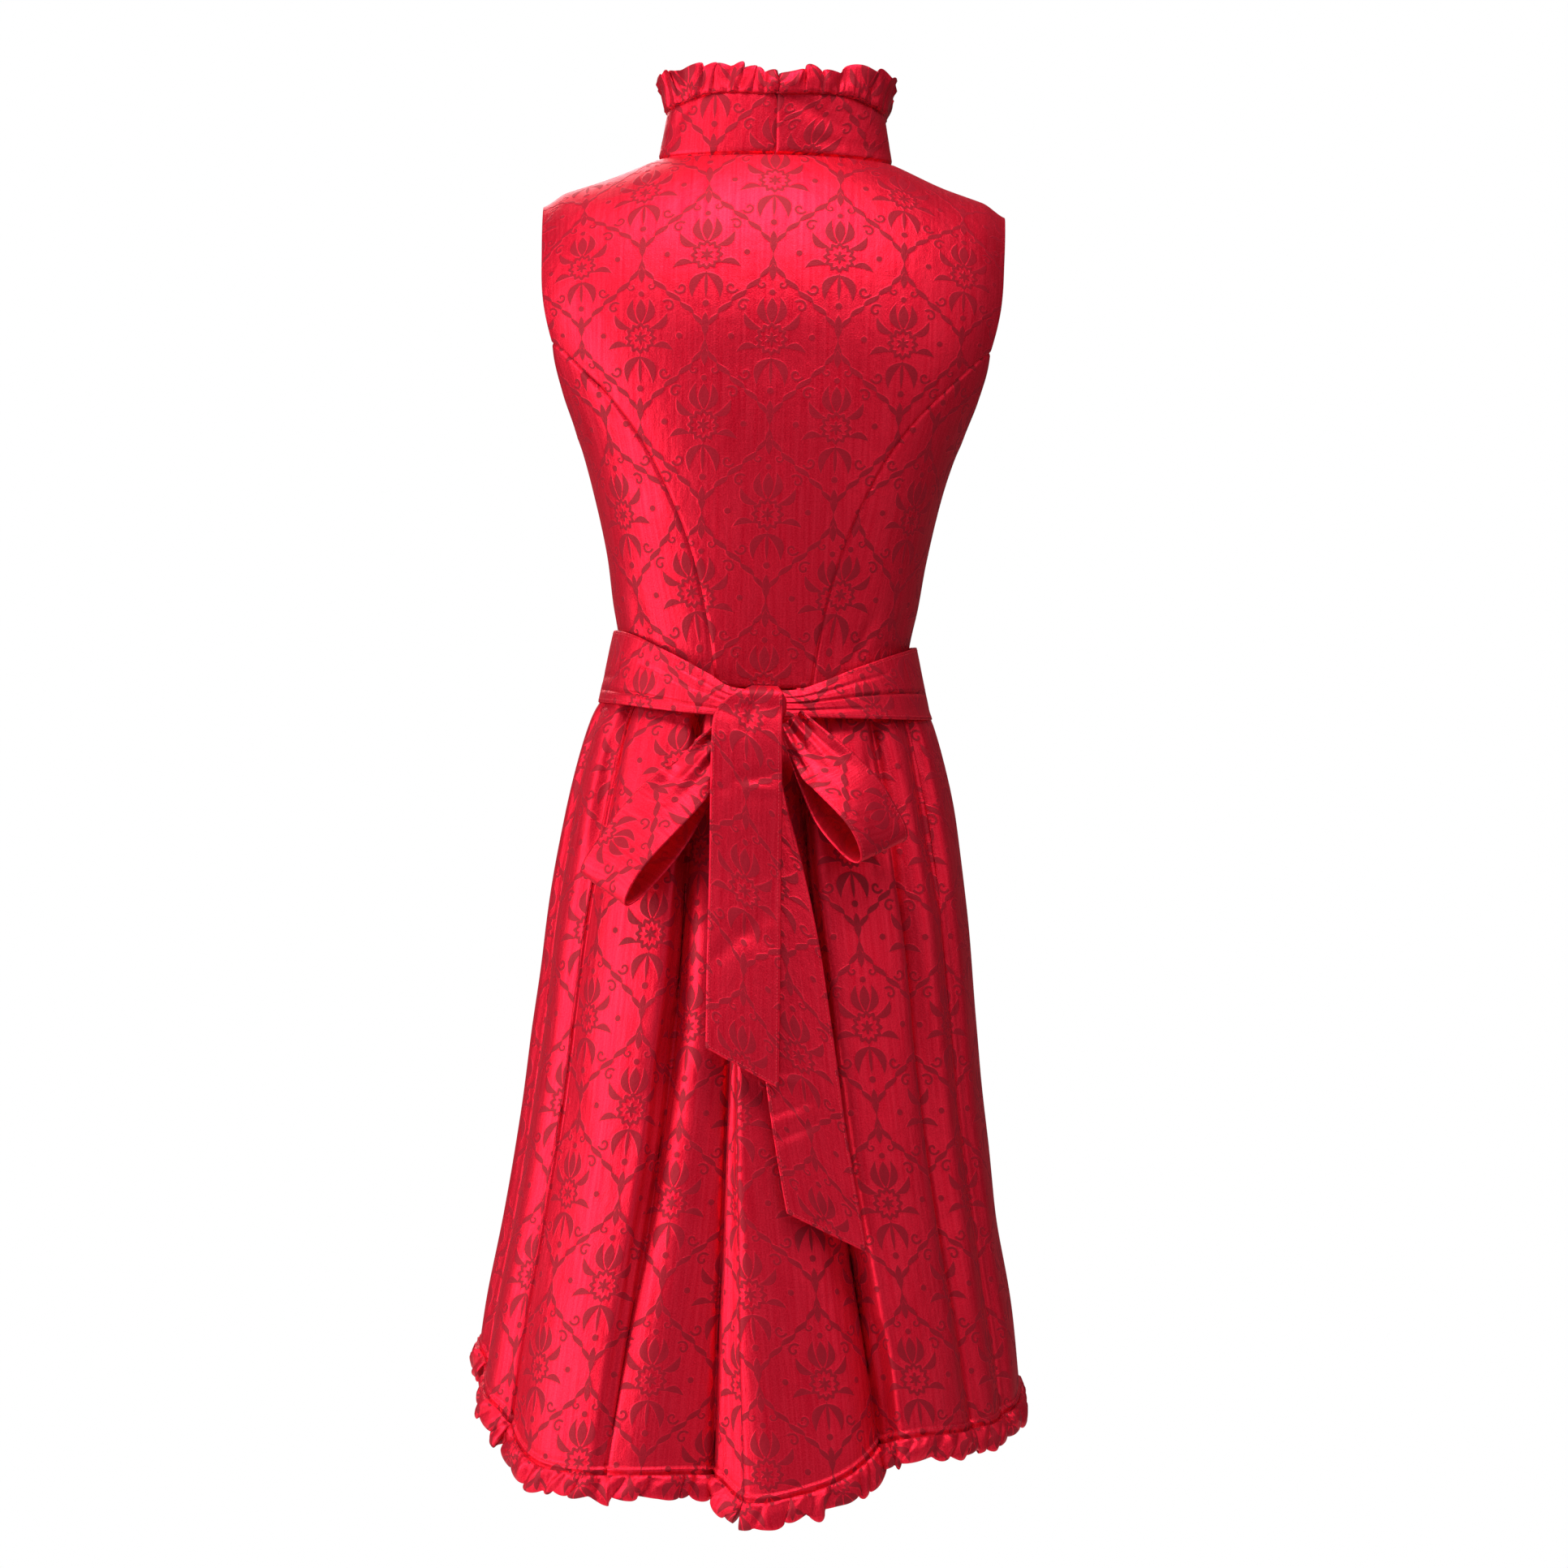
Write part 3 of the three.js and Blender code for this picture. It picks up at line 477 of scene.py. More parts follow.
def shell(name, points, places, material, wall):
    """A thin closed shell with a rounded rim, whose outer face is the grid."""
    columns, rows = points.shape[:2]
    count = columns * rows
    inner = points - normals(points) * wall
    index = np.arange(count).reshape(columns, rows)
    loop = np.concatenate([index[:-1, 0], index[-1, :-1], index[:0:-1, -1], index[0, :0:-1]])
    ahead = np.roll(loop, -1)
    middle = 2 * count + np.arange(len(loop))
    i, j = loop // rows, loop % rows
    inside = points[np.clip(i, 1, columns - 2), np.clip(j, 1, rows - 2)]
    rim = (points[i, j] + inner[i, j]) / 2 + unit(points[i, j] - inside) * wall * RIM_ROUND
    faces = [
        grid_faces(index),
        grid_faces(index)[:, ::-1] + count,
        np.stack([ahead, loop, middle, np.roll(middle, -1)], axis=-1),
        np.stack([np.roll(middle, -1), middle, loop + count, ahead + count], axis=-1),
    ]
    outer_bake, inner_bake = (bake_square(columns, rows, span) for span in (OUTER_BAKE, INNER_BAKE))
    rim_corners = np.stack([ahead, loop, loop, ahead], axis=-1)
    bake = [
        outer_bake[faces[0]],
        inner_bake[faces[1] - count],
        outer_bake[rim_corners],
        inner_bake[rim_corners],
    ]
    flat = places.reshape(-1, 2)
    lining = np.repeat([0, 1, 0], [count, count, len(loop)])
    cloth = np.column_stack([np.concatenate([flat, flat, flat[loop]]), lining])
    everything = np.concatenate([points.reshape(-1, 3), inner.reshape(-1, 3), rim])
    return make_mesh(name, everything, np.concatenate(faces), cloth, np.concatenate(bake), material)


def sheet(node, points, places, slot="damask", wall=WALL):
    """One cut piece of cloth in place of a CAD node."""
    piece = shell(f"{node}_cloth", points, places, CLOTH[slot], wall)
    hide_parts(node)
    return piece


# ---------------- cloth material
class Maths:
    """A number in a node tree, worked out by ordinary arithmetic."""

    def __init__(self, tree, socket):
        self.tree, self.socket = tree, socket

    def op(self, kind, *others, clamp=False, swap=False):
        node = self.tree.nodes.new("ShaderNodeMath")
        node.operation, node.use_clamp = kind, clamp
        values = (*others, self) if swap else (self, *others)
        for entry, value in zip(node.inputs, values):
            if isinstance(value, Maths):
                self.tree.links.new(value.socket, entry)
            else:
                entry.default_value = value
        return Maths(self.tree, node.outputs[0])

    def __add__(self, other):
        return self.op("ADD", other)

    def __sub__(self, other):
        return self.op("SUBTRACT", other)

    def __rsub__(self, other):
        return self.op("SUBTRACT", other, swap=True)

    def __mul__(self, other):
        return self.op("MULTIPLY", other)

    def __abs__(self):
        return self.op("ABSOLUTE")

    def fold(self, period):
        """Distance from the nearest whole multiple of the period."""
        return self.op("PINGPONG", period / 2)

    def wrapped(self, period):
        """The same place between minus and plus half a period."""
        return self.op("WRAP", -period / 2, period / 2)


# The woven figure. Shapes are signed distances in millimetres, less than zero inside.
REPEAT = {"across": 112.0, "up": 147.0}
SCALE = 0.88
# The trellis: how steep it runs, its half width, and its beads' count and height.
VINE = {"steep": 0.74, "half": 0.5, "beads": 7, "bead": 2.8}


def least(shapes):
    total = shapes[0]
    for shape in shapes[1:]:
        total = total.op("MINIMUM", shape)
    return total


def from_point(x, y, at, lean=0):
    """Along and aside from a point, in a direction this many degrees to the right of upright."""
    s, c = (float(value) for value in turned(lean))
    dx, dy = x - at[0], y - at[1]
    return dx * s + dy * c, dx * c - dy * s


def disc(x, y, at, radius):
    along, aside = from_point(x, y, at)
    return (along * along + aside * aside).op("SQRT") - radius


def flower(x, y, at, radius, depth, petals):
    """A disc whose edge swells into petals."""
    along, aside = from_point(x, y, at)
    lobes = (aside.op("ARCTAN2", along) * petals).op("COSINE")
    return (along * along + aside * aside).op("SQRT") - radius - lobes * depth


def leaf(x, y, at, lean, half_length, half_width, bend=0):
    """A pointed leaf, bent to one side by this much at its ends."""
    along, aside = from_point(x, y, at, lean)
    share = along * along * (1 / half_length**2)
    return abs(aside - share * bend) - (1 - share) * half_width


def scroll(x, y, at, lean, start, grow, half):
    """One turn of a small spiral."""
    along, aside = from_point(x, y, at, lean)
    turn = along.op("ARCTAN2", aside)
    return abs((along * along + aside * aside).op("SQRT") - turn * grow - start) - half


def petalled_ring(x, y, at, radius, depth, petals, half):
    return abs(flower(x, y, at, radius, depth, petals)) - half


# What stands in one ogee of the trellis, the same to the left and the right of its middle.
OGEE = [
    (flower, (0, 0), 4.4, 1.6, 6),
    (petalled_ring, (0, 0), 11.0, 1.2, 12, 1.9),
    (leaf, (0, 24.5), 0, 11.0, 4.6),
    (leaf, (9.0, 22.5), 14, 12.5, 3.6, -5.5),
    (leaf, (18.5, 12.0), 48, 10.5, 3.4, -4.5),
    (leaf, (20.5, -6.0), 100, 9.5, 3.0, 3.5),
    (leaf, (10.0, -24.5), 150, 13.5, 3.8, 6.0),
    (leaf, (0, -26.5), 0, 13.0, 1.7),
    (disc, (0, -43.5), 3.0),
    (disc, (0, 40.0), 2.7),
    (disc, (34.0, 2.0), 2.8),
    (scroll, (24.0, 28.0), 40, 3.3, 0.8, 1.2),
    (scroll, (21.5, -29.5), 200, 3.1, 0.75, 1.2),
    (scroll, (8.5, 47.0), 120, 2.4, 0.65, 1.0),
    (leaf, (0, 58.0), 0, 8.0, 3.0),
    (leaf, (0, -59.0), 0, 8.0, 3.0),
]


def woven_figure(across, up):
    """Distance from the woven figure: an ogee trellis with a flower in each ogee."""
    wide, tall = REPEAT["across"], REPEAT["up"]
    x, y = (across * (1 / SCALE)).fold(wide), (up * (1 / SCALE)).wrapped(tall)
    angle = y * (2 * math.pi / tall)
    bend, rise = angle.op("COSINE"), abs(angle.op("SINE"))
    beside = x - (bend + 1) * (wide / 4)
    beads = abs((angle * VINE["beads"]).op("SINE"))
    vine = abs(beside) * VINE["steep"] - (beads * rise * VINE["bead"] + VINE["half"])
    # The near ogee's own places: this column's, or the next column's half a repeat up.
    other = beside.op("GREATER_THAN", 0)
    near_x = x + other * (wide / 2 - x * 2)
    near_y = (y + other * (tall / 2)).wrapped(tall)
    return least([vine, *(shape(near_x, near_y, *row) for shape, *row in OGEE)])


def new_material(name):
    """A new material, its node tree and its shader."""
    material = bpy.data.materials.new(name)
    material.use_nodes = True
    return material, material.node_tree, material.node_tree.nodes["Principled BSDF"]


def place_nodes(tree):
    """Across and up on the flat cloth in millimetres, and 1 on the lining side."""
    place = tree.nodes.new("ShaderNodeAttribute")
    place.attribute_name = "cloth"
    split = tree.nodes.new("ShaderNodeSeparateXYZ")
    tree.links.new(place.outputs["Vector"], split.inputs[0])
    across, up, lining = (Maths(tree, socket) for socket in split.outputs)
    return across * (1 / MM), up * (1 / MM), lining


NOISE_ROUGH = 0.55


def threads(tree, x, y, detail):
    """Noise over the cloth, one bump to each unit of x and y."""
    join = tree.nodes.new("ShaderNodeCombineXYZ")
    tree.links.new(x.socket, join.inputs[0])
    tree.links.new(y.socket, join.inputs[1])
    node = tree.nodes.new("ShaderNodeTexNoise")
    node.inputs["Scale"].default_value = 1.0
    node.inputs["Detail"].default_value = detail
    node.inputs["Roughness"].default_value = NOISE_ROUGH
    tree.links.new(join.outputs[0], node.inputs["Vector"])
    return Maths(tree, node.outputs[0])


def blend_colour(tree, amount, low, high):
    """From the low colour to the high one; each is three numbers or another node's colour."""
    node = tree.nodes.new("ShaderNodeMix")
    node.data_type = "RGBA"
    tree.links.new(amount.socket, node.inputs[0])
    for entry, value in ((node.inputs[6], low), (node.inputs[7], high)):
        if isinstance(value, tuple):
            entry.default_value = (*value, 1)
        else:
            tree.links.new(value, entry)
    return node.outputs[2]


RED = {
    "ground": (0.83, 0.019, 0.050),
    "deep": (0.65, 0.003, 0.022),
    "figure": (0.26, 0.001, 0.011),
    "figure_light": (0.39, 0.002, 0.017),
}
THREAD_RED = ((0.50, 0.004, 0.020), (0.72, 0.012, 0.040))
# Noise in the weave: its bumps to a millimetre across and up the cloth, and its detail.
WEAVE = {
    "ribs": (1.2, 0.04, 2.0),
    "cords": (0.42, 0.012, 1.0),
    "grain": (0.9, 0.9, 2.0),
    "weft": (0.3, 1.5, 2.0),
    "clouds": (0.025, 0.02, 3.0),
    "crinkle": (0.10, 0.07, 2.0),
}
SPECKLE = {"grain": 1.8, "cords": 1.3, "clouds": 0.5, "less": 1.3}
METAL = {"ground": 0.80, "figure": 0.16}
ROUGH = {"even": 0.41, "figure": 0.10, "grain": 0.10, "ribs": 0.06}
HEIGHT = {"figure": 0.16, "crinkle": 0.60, "grain": 0.20, "ribs": 0.06, "weft": 0.12}
LINING_FADES = 0.7
SPECULAR = 0.22
THREAD_ROUGH = 0.42
# Edges of the figure: how steep they are, and their value on its line.
FIGURE_EDGE = {"weave": (2.2, 0.1), "relief": (0.5, 0.55)}


def filled(distance, steep, start):
    """1 inside a shape and 0 outside it, with an edge this steep and this value on its line."""
    return (distance * -steep).op("ADD", start, clamp=True)


def cloth_material(name, emboss=1.0):
    """Red satin with a fine upright rib, and a damask figure woven duller and prouder into it."""
    material, tree, shader = new_material(name)
    across, up, lining = place_nodes(tree)
    weave = {
        key: threads(tree, across * wide, up * tall, detail)
        for key, (wide, tall, detail) in WEAVE.items()
    }
    grain, ribs, weft = weave["grain"], weave["ribs"], weave["weft"]
    distance = woven_figure(across, up)
    shown = 1 - lining * LINING_FADES
    figure = filled(distance, *FIGURE_EDGE["weave"]) * shown
    slope = filled(distance, *FIGURE_EDGE["relief"])
    relief = slope * slope * (3 - slope * 2) * shown
    speckle = grain * SPECKLE["grain"] + weave["cords"] * SPECKLE["cords"]
    speckle = speckle + weave["clouds"] * SPECKLE["clouds"]
    speckle = speckle.op("SUBTRACT", SPECKLE["less"], clamp=True)
    ground = blend_colour(tree, speckle, RED["deep"], RED["ground"])
    woven = blend_colour(tree, weft, RED["figure"], RED["figure_light"])
    metal = figure * (METAL["figure"] - METAL["ground"]) + METAL["ground"]
    rough = figure * ROUGH["figure"] + grain * ROUGH["grain"] + ribs * ROUGH["ribs"] + ROUGH["even"]
    height = relief * (HEIGHT["figure"] * emboss)
    height = height + weave["crinkle"] * HEIGHT["crinkle"] + grain * HEIGHT["grain"]
    height = height + ribs * (1 - figure) * HEIGHT["ribs"] + figure * weft * HEIGHT["weft"]
    bump = tree.nodes.new("ShaderNodeBump")
    bump.inputs["Strength"].default_value = 1.0
    bump.inputs["Distance"].default_value = MM
    tree.links.new(height.socket, bump.inputs["Height"])
    for source, target in (
        (bump.outputs[0], "Normal"),
        (blend_colour(tree, figure, ground, woven), "Base Color"),
        (metal.socket, "Metallic"),
        (rough.socket, "Roughness"),
    ):
        tree.links.new(source, shader.inputs[target])
    shader.inputs["Specular IOR Level"].default_value = SPECULAR
    return material


def thread_material():
    """Glossy twisted sewing thread."""
    material, tree, shader = new_material("thread")
    across, up, _ = place_nodes(tree)
    twist = threads(tree, across * 3 + up * 3, up * 0.5, 1.0)
    tree.links.new(blend_colour(tree, twist, *THREAD_RED), shader.inputs["Base Color"])
    shader.inputs["Roughness"].default_value = THREAD_ROUGH
    return material


CLOTH = {
    "damask": cloth_material("satin_damask"),
    "ruffle": cloth_material("satin_damask_ruffle", emboss=0.6),
    "sash": cloth_material("satin_damask_sash"),
}
THREAD = thread_material()


# ---------------- topstitching
STITCH = {"pitch": 2.6 * MM, "length": 2.0 * MM, "wide": 0.42 * MM, "high": 0.3 * MM}
# A stitch is a bead: its rings, by place along the stitch and size, and each ring's corners,
# by place aside and height.
STITCH_RINGS = ((-0.5, 0.45), (-0.2, 1), (0.2, 1), (0.5, 0.45))
STITCH_CORNERS = ((-1, 0), (0, 1), (1, 0), (0, -0.4))


def edge_line(points, edge, inset):
    """The line over a sheet at this distance from one of its edges, and its normals."""
    out = normals(points)
    if edge in ("start", "end"):
        points, out = points.swapaxes(0, 1), out.swapaxes(0, 1)
    if edge in ("end", "top"):
        points, out = points[:, ::-1], out[:, ::-1]
    along = arc(points, 1)
    line, line_out = (
        np.array([sampled(inset, length, row) for length, row in zip(along, rows)])
        for rows in (points, out)
    )
    return line, unit(line_out)


def stitches(name, lines):
    """Short raised threads along lines over the cloth, as one joined mesh."""
    centres, alongs, outs = [], [], []
    for line, out in lines:
        length = arc(line)
        at = np.arange(STITCH["pitch"], length[-1] - STITCH["pitch"], STITCH["pitch"])
        centres.append(sampled(at, length, line))
        alongs.append(sampled(at, length, unit(np.gradient(line, axis=0))))
        outs.append(sampled(at, length, out))
    centres, alongs, outs = (np.concatenate(part) for part in (centres, alongs, outs))
    asides = unit(np.cross(alongs, outs))
    corners = [
        centres
        + alongs * along * STITCH["length"]
        + asides * aside * size * STITCH["wide"] / 2
        + outs * high * size * STITCH["high"]
        for along, size in STITCH_RINGS
        for aside, high in STITCH_CORNERS
    ]
    points = np.stack(corners, axis=1)
    index = np.arange(len(corners)).reshape(len(STITCH_RINGS), -1)
    bead = np.concatenate([ring_faces(index), [index[0]], [index[-1, ::-1]]])
    faces = (bead[None] + len(corners) * np.arange(len(points))[:, None, None]).reshape(-1, 4)
    places = np.zeros((points.size // 3, 3))
    rings = [(along + 0.5) * STITCH["length"] for along, _ in STITCH_RINGS]
    places[:, 1] = np.tile(np.repeat(rings, len(STITCH_CORNERS)), len(points))
    spot = np.array([(0.1, 0.1), (0.9, 0.1), (0.9, 0.9), (0.1, 0.9)])
    bake = np.broadcast_to(spot, (len(faces), 4, 2))
    return make_mesh(name, points.reshape(-1, 3), faces, places, bake, THREAD)


# ---------------- bodice
def shoulder_ridge(x):
    """Height of the shoulder's ridge: a slope that rounds over at the tip and rises at the neck."""
    tip = ease((np.abs(x) - TIP["soft_from"]) / (TIP["x"] - TIP["soft_from"]))
    out = np.hypot(x, SHOULDER["round"]) - SHOULDER["inset"]
    away = (np.abs(x) - SHOULDER["neck_from"]) / (SHOULDER["neck_to"] - SHOULDER["neck_from"])
    slope = TIP["z"] + (TIP["x"] - out) * SHOULDER["slope"]
    return slope - TIP["drop"] * tip + SHOULDER["neck_rise"] * (1 - ease(away))


def body_point(turn, h):
    """The bodice's outer face. Above the chest it closes over the shoulder ridge."""
    x, y = section(BODY, turn, h, BODY_ROUND)
    cup = bell(np.abs(x) - CUP["x"], CUP["wide"]) * bell(h - CUP["h"], CUP["tall"])
    y = y - CUP["out"] * cup * np.clip(-2 * turned(turn)[1], 0, 1)
    lift = np.clip((h - CHEST_TOP) / CAP_RUN, 0, 1) * np.pi / 2
    over = CHEST_TOP + (shoulder_ridge(x) - CHEST_TOP) * np.sin(lift)
    return vec(x, y * np.cos(lift), np.where(h > CHEST_TOP, over, h))


def turn_at_width(x, h):
    """Where round the body its outer face is this far to the side."""
    ratio = np.clip(x / read(BODY, h, SIDE), 0, 1)
    return np.degrees(np.arcsin(ratio ** (1 / BODY_ROUND)))


# The turns of the neck's corner and of the shoulder's tip, and the one as a share of the other.
NECK_TURN = float(turn_at_width(NECK["half"], BODY_TOP))
TIP_TURN = 90 - ARMHOLE["tip"]
NECK_PART = NECK_TURN / TIP_TURN


def half_of_body(is_front):
    """Front or back: its princess seams, with their upper ends on the armhole."""
    arm_turn = ARMHOLE["front"] if is_front else ARMHOLE["back"]
    top_x = float(body_point(90 - arm_turn, ARMHOLE["seam"])[0])
    seam = (FRONT_SEAM if is_front else BACK_SEAM) + [(ARMHOLE["seam"], top_x)]
    # The rows follow the neckline all the way down in front, and only near it at the back.
    hold = 1 if is_front else 5
    return {"is_front": is_front, "arm_turn": arm_turn, "seam": seam, "hold": hold}


BACK_HALF, FRONT_HALF = half_of_body(False), half_of_body(True)


def centre_edge_turn(half, h):
    """Turn from the centre line to a centre panel's edge: princess seam, then armhole."""
    seam = turn_at_width(read(half["seam"], h), h)
    t = ease((h - ARMHOLE["seam"]) / (BODY_TOP - ARMHOLE["seam"]))
    return np.where(h < ARMHOLE["seam"], seam, mix(90 - half["arm_turn"], TIP_TURN, t))


def neck_height(half, turn):
    """Height up the cloth of the neckline at a turn from the centre line."""
    x = read(BODY, BODY_TOP, SIDE) * turned(np.minimum(turn, NECK_TURN))[0] ** BODY_ROUND
    across = np.minimum(1, x / NECK["half"])
    corner = shoulder_ridge(NECK["half"])
    z = mix(NECK["vee"], corner, across ** NECK["vee_bend"]) if half["is_front"] else corner
    part = np.clip((z - CHEST_TOP) / (shoulder_ridge(x) - CHEST_TOP), 0, 1)
    return np.where(z <= CHEST_TOP, z, CHEST_TOP + CAP_RUN * np.arcsin(part) / (np.pi / 2))


def from_centre(half, turn):
    """A turn from the half's own centre line as a turn about the body."""
    return 180 - turn if half["is_front"] else turn


CORNER_STEPS = [step * MM for step in range(-36, 37, 6)]


def inner_edge_turn(half, h, reach):
    """The panel's edge as columns inside the panel follow it, with its corner rounded off."""
    rounded = np.mean([centre_edge_turn(half, h + step) for step in CORNER_STEPS], axis=0)
    return mix(rounded, centre_edge_turn(half, h), reach**10)


BODICE_STEPS = {"centre": 52, "side": 40, "up": 170, "side_up": 90}


def centre_sheet(half, across):
    """A centre panel on the left; across is 0 on the centre line and 1 on the panel's edge."""
    reach = across[:, None]
    rows = spread(WAIST_Z, BODY_TOP, BODICE_STEPS["up"], fine_end=True)
    top = np.where(reach >= NECK_PART, BODY_TOP, neck_height(half, reach * TIP_TURN))
    rise = ((rows - WAIST_Z) / (BODY_TOP - WAIST_Z)) ** half["hold"]
    h = rows - (BODY_TOP - top) * rise
    return body_point(from_centre(half, reach * inner_edge_turn(half, rows, reach)), h), h


def side_sheet(half, across):
    """A side panel on the left; across is 0 on the princess seam and 1 on the side seam."""
    reach = across[:, None]
    rows = spread(WAIST_Z, ARMHOLE["seam"], BODICE_STEPS["side_up"])
    top = mix(ARMHOLE["bottom"], ARMHOLE["seam"], (1 - reach) ** 2)
    h = mix(WAIST_Z, top, (rows - WAIST_Z) / (ARMHOLE["seam"] - WAIST_Z))
    return body_point(from_centre(half, mix(centre_edge_turn(half, rows), 90, reach)), h)


def centre_columns(seam_at_centre=False):
    """Places across half a centre panel, one of them exactly at the neck's corner."""
    steps = int(BODICE_STEPS["centre"] * NECK_PART)
    inner = spread(0, NECK_PART, steps, fine_start=seam_at_centre)
    outer = spread(NECK_PART, 1, BODICE_STEPS["centre"] - steps, fine_end=True)
    return np.concatenate([inner, outer[1:]])


BACK_CREASES = [
    (-0.086, -0.338, -0.066, -0.378, 4, 1.6),
    (-0.108, -0.333, -0.100, -0.362, 4, 1.4),
    (0.100, -0.330, 0.088, -0.372, 5, 1.2),
    (0.112, -0.236, 0.080, -0.270, 6, 1.0),
    (0.135, -0.160, 0.118, -0.206, 5, 1.4),
    (-0.060, -0.150, 0.040, -0.160, 22, 0.8),
]
FRONT_CREASES = [
    (0.066, -0.336, 0.040, -0.392, 5, 1.2),
    (-0.070, -0.330, -0.046, -0.388, 6, 1.4),
    (0.128, -0.205, 0.098, -0.236, 6, 1.2),
    (-0.130, -0.200, -0.102, -0.240, 5, 1.3),
]
ALLOWANCE = {"past": (1.5 * MM, 4 * MM), "under": 2.4 * MM, "narrows": 0.08}
SEAM_FADE = 8 * MM


def with_allowance(points, plain, across):
    """The sheet with its seam allowance past the top edge, tucked under what is sewn to it. The
    plain sheet has no seams drawn in, and the allowance narrows to nothing at the armhole."""
    ahead = unit(plain[:, -1] - plain[:, -8])
    base = plain[:, -1] - normals(plain)[:, -1] * ALLOWANCE["under"]
    narrow = ease((1 - across) / ALLOWANCE["narrows"])[:, None]
    strips = [base + ahead * past * narrow for past in ALLOWANCE["past"]]
    return np.concatenate([points, np.stack(strips, axis=1)], axis=1)


def below_armhole(h):
    """1 where a panel's edge is a seam, fading to 0 where it is the armhole."""
    return 1 - ease((h - ARMHOLE["seam"] + SEAM_FADE) / SEAM_FADE)


def make_back_centre():
    half = centre_columns()
    plain, h = centre_sheet(BACK_HALF, half)
    points = seamed(plain, ["end"], share=below_armhole(h))
    points = with_allowance(seamed(points, ["top"]), plain, half)
    whole = np.concatenate([mirrored(points)[:-1], points])
    whole = worn(whole, BACK_CREASES)
    sheet("back_centre", whole, cut_places(whole, column=len(half) - 1))


def make_bodice_side(side, name):
    """The panels of one side of the bodice: front centre, side front and side back."""
    across = spread(0, 1, BODICE_STEPS["side"], fine_start=True, fine_end=True)
    half = centre_columns(seam_at_centre=True)
    plain, h = (grid[::-1] for grid in centre_sheet(FRONT_HALF, half))
    front = seamed(plain, ["start"], share=below_armhole(h))
    front = with_allowance(seamed(front, ["end", "top"]), plain, half[::-1])
    panels = {
        f"front_{name}": front,
        f"side_front_{name}": seamed(side_sheet(FRONT_HALF, across)[::-1], ["start", "end"]),
        f"side_back_{name}": seamed(side_sheet(BACK_HALF, across), ["start", "end"]),
    }
    for node, points in panels.items():
        points = points if side > 0 else mirrored(points)
        points = worn(points, BACK_CREASES if "back" in node else FRONT_CREASES)
        sheet(node, points, cut_places(points, column=len(points) // 2))


# ---------------- collar
def neck_seam(along):
    """A point of the neck seam: along is 0 centre back, 1 shoulder, 2 centre front."""
    turn = np.where(along > 1, 2 - along, along) * NECK_TURN
    back = body_point(turn, neck_height(BACK_HALF, turn))
    front = body_point(180 - turn, neck_height(FRONT_HALF, turn))
    return np.where((along > 1)[..., None], front, back)


def collar_point(along, up, proud):
    """The collar's outer face. At the centre back seam its top edge stands proud by this much,
    and how soon that fades round the neck tips each half its own way."""
    lean = [read(COLLAR, along, column) * up for column in (COLLAR_OUT, COLLAR_BACK, COLLAR_RISE)]
    lean[1] = lean[1] + proud["out"] * np.exp(-along / proud["fade"]) * up
    return neck_seam(along) + np.stack(lean, axis=-1)


COLLAR_WALL = 1.8 * MM
COLLAR_ALLOWANCE = 3 * MM
COLLAR_SEAM_DEEP = {"foot": 1.7 * MM, "top": 0.8 * MM}
COLLAR_STEPS = {"back": 90, "front": 110, "up": 26}
COLLAR_PROUD = {"left": {"out": 5 * MM, "fade": 0.28}, "right": {"out": 5 * MM, "fade": 0.75}}
COLLAR_CREASES = [
    (-0.008, 0.046, -0.060, 0.018, 6, 1.5),
    (-0.035, 0.050, -0.080, 0.030, 5, -1.3),
    (-0.025, 0.014, -0.088, 0.010, 5, 1.4),
    (0.066, 0.044, 0.082, 0.014, 5, 1.0),
]


def with_foot(points):
    """The collar with its seam allowance below the neck seam, tucked inside the bodice."""
    foot = points[:, 0] + unit(points[:, 0] - points[:, 6]) * COLLAR_ALLOWANCE
    return np.concatenate([foot[:, None], points], axis=1)


def make_collar(side, name):
    """One half of the collar, with its ruffle."""
    back = spread(0, 1, COLLAR_STEPS["back"], fine_start=True)
    front = spread(1, COLLAR_FOOT, COLLAR_STEPS["front"])
    along = np.concatenate([back, front[1:]])
    up = spread(0, 1, COLLAR_STEPS["up"], fine_start=True, fine_end=True)
    points = collar_point(along[:, None], up[None, :], COLLAR_PROUD[name])
    points = seamed(points, ["start", "bottom"], deep=COLLAR_SEAM_DEEP["foot"])
    points = with_foot(seamed(points, ["top"], deep=COLLAR_SEAM_DEEP["top"]))
    points = points if side > 0 else mirrored(points)
    points = worn(points, COLLAR_CREASES)
    sheet(f"collar_{name}", points, flat_places(points), wall=COLLAR_WALL)
    way = points[:, -1] - points[:, -6]
    flare = read(COLLAR, along if side > 0 else along[::-1], COLLAR_FLARE)
    make_ruffle(f"collar_ruffle_{name}", points[:, -1], way, COLLAR_RUFFLE[name], flare)


# ---------------- gathered ruffles
# A ruffle is a strip folded double and gathered into a seam. Between two valleys it swells
# into a puff. The first valleys are listed, by their distance along the seam in
# millimetres, with the height of the puff that follows as a share of the reach.
GATHER = {
    "fullness": 1.4, "step": 1.05 * MM, "rows": 30, "tucked": 2.5 * MM, "thick": 1.1 * MM,
    "swell": 0.45, "inner": 0.7, "inner_shift": 5 * MM, "overhang": 7 * MM, "dip": 0.84,
    "pinch": 1.7 * MM, "crumple": 1.6 * MM, "swing": 2.2 * MM, "uneven": 0.03,
    "hidden": 3 * MM, "beyond": 40 * MM, "heights": (0.74, 1.04), "before": 0.85,
}
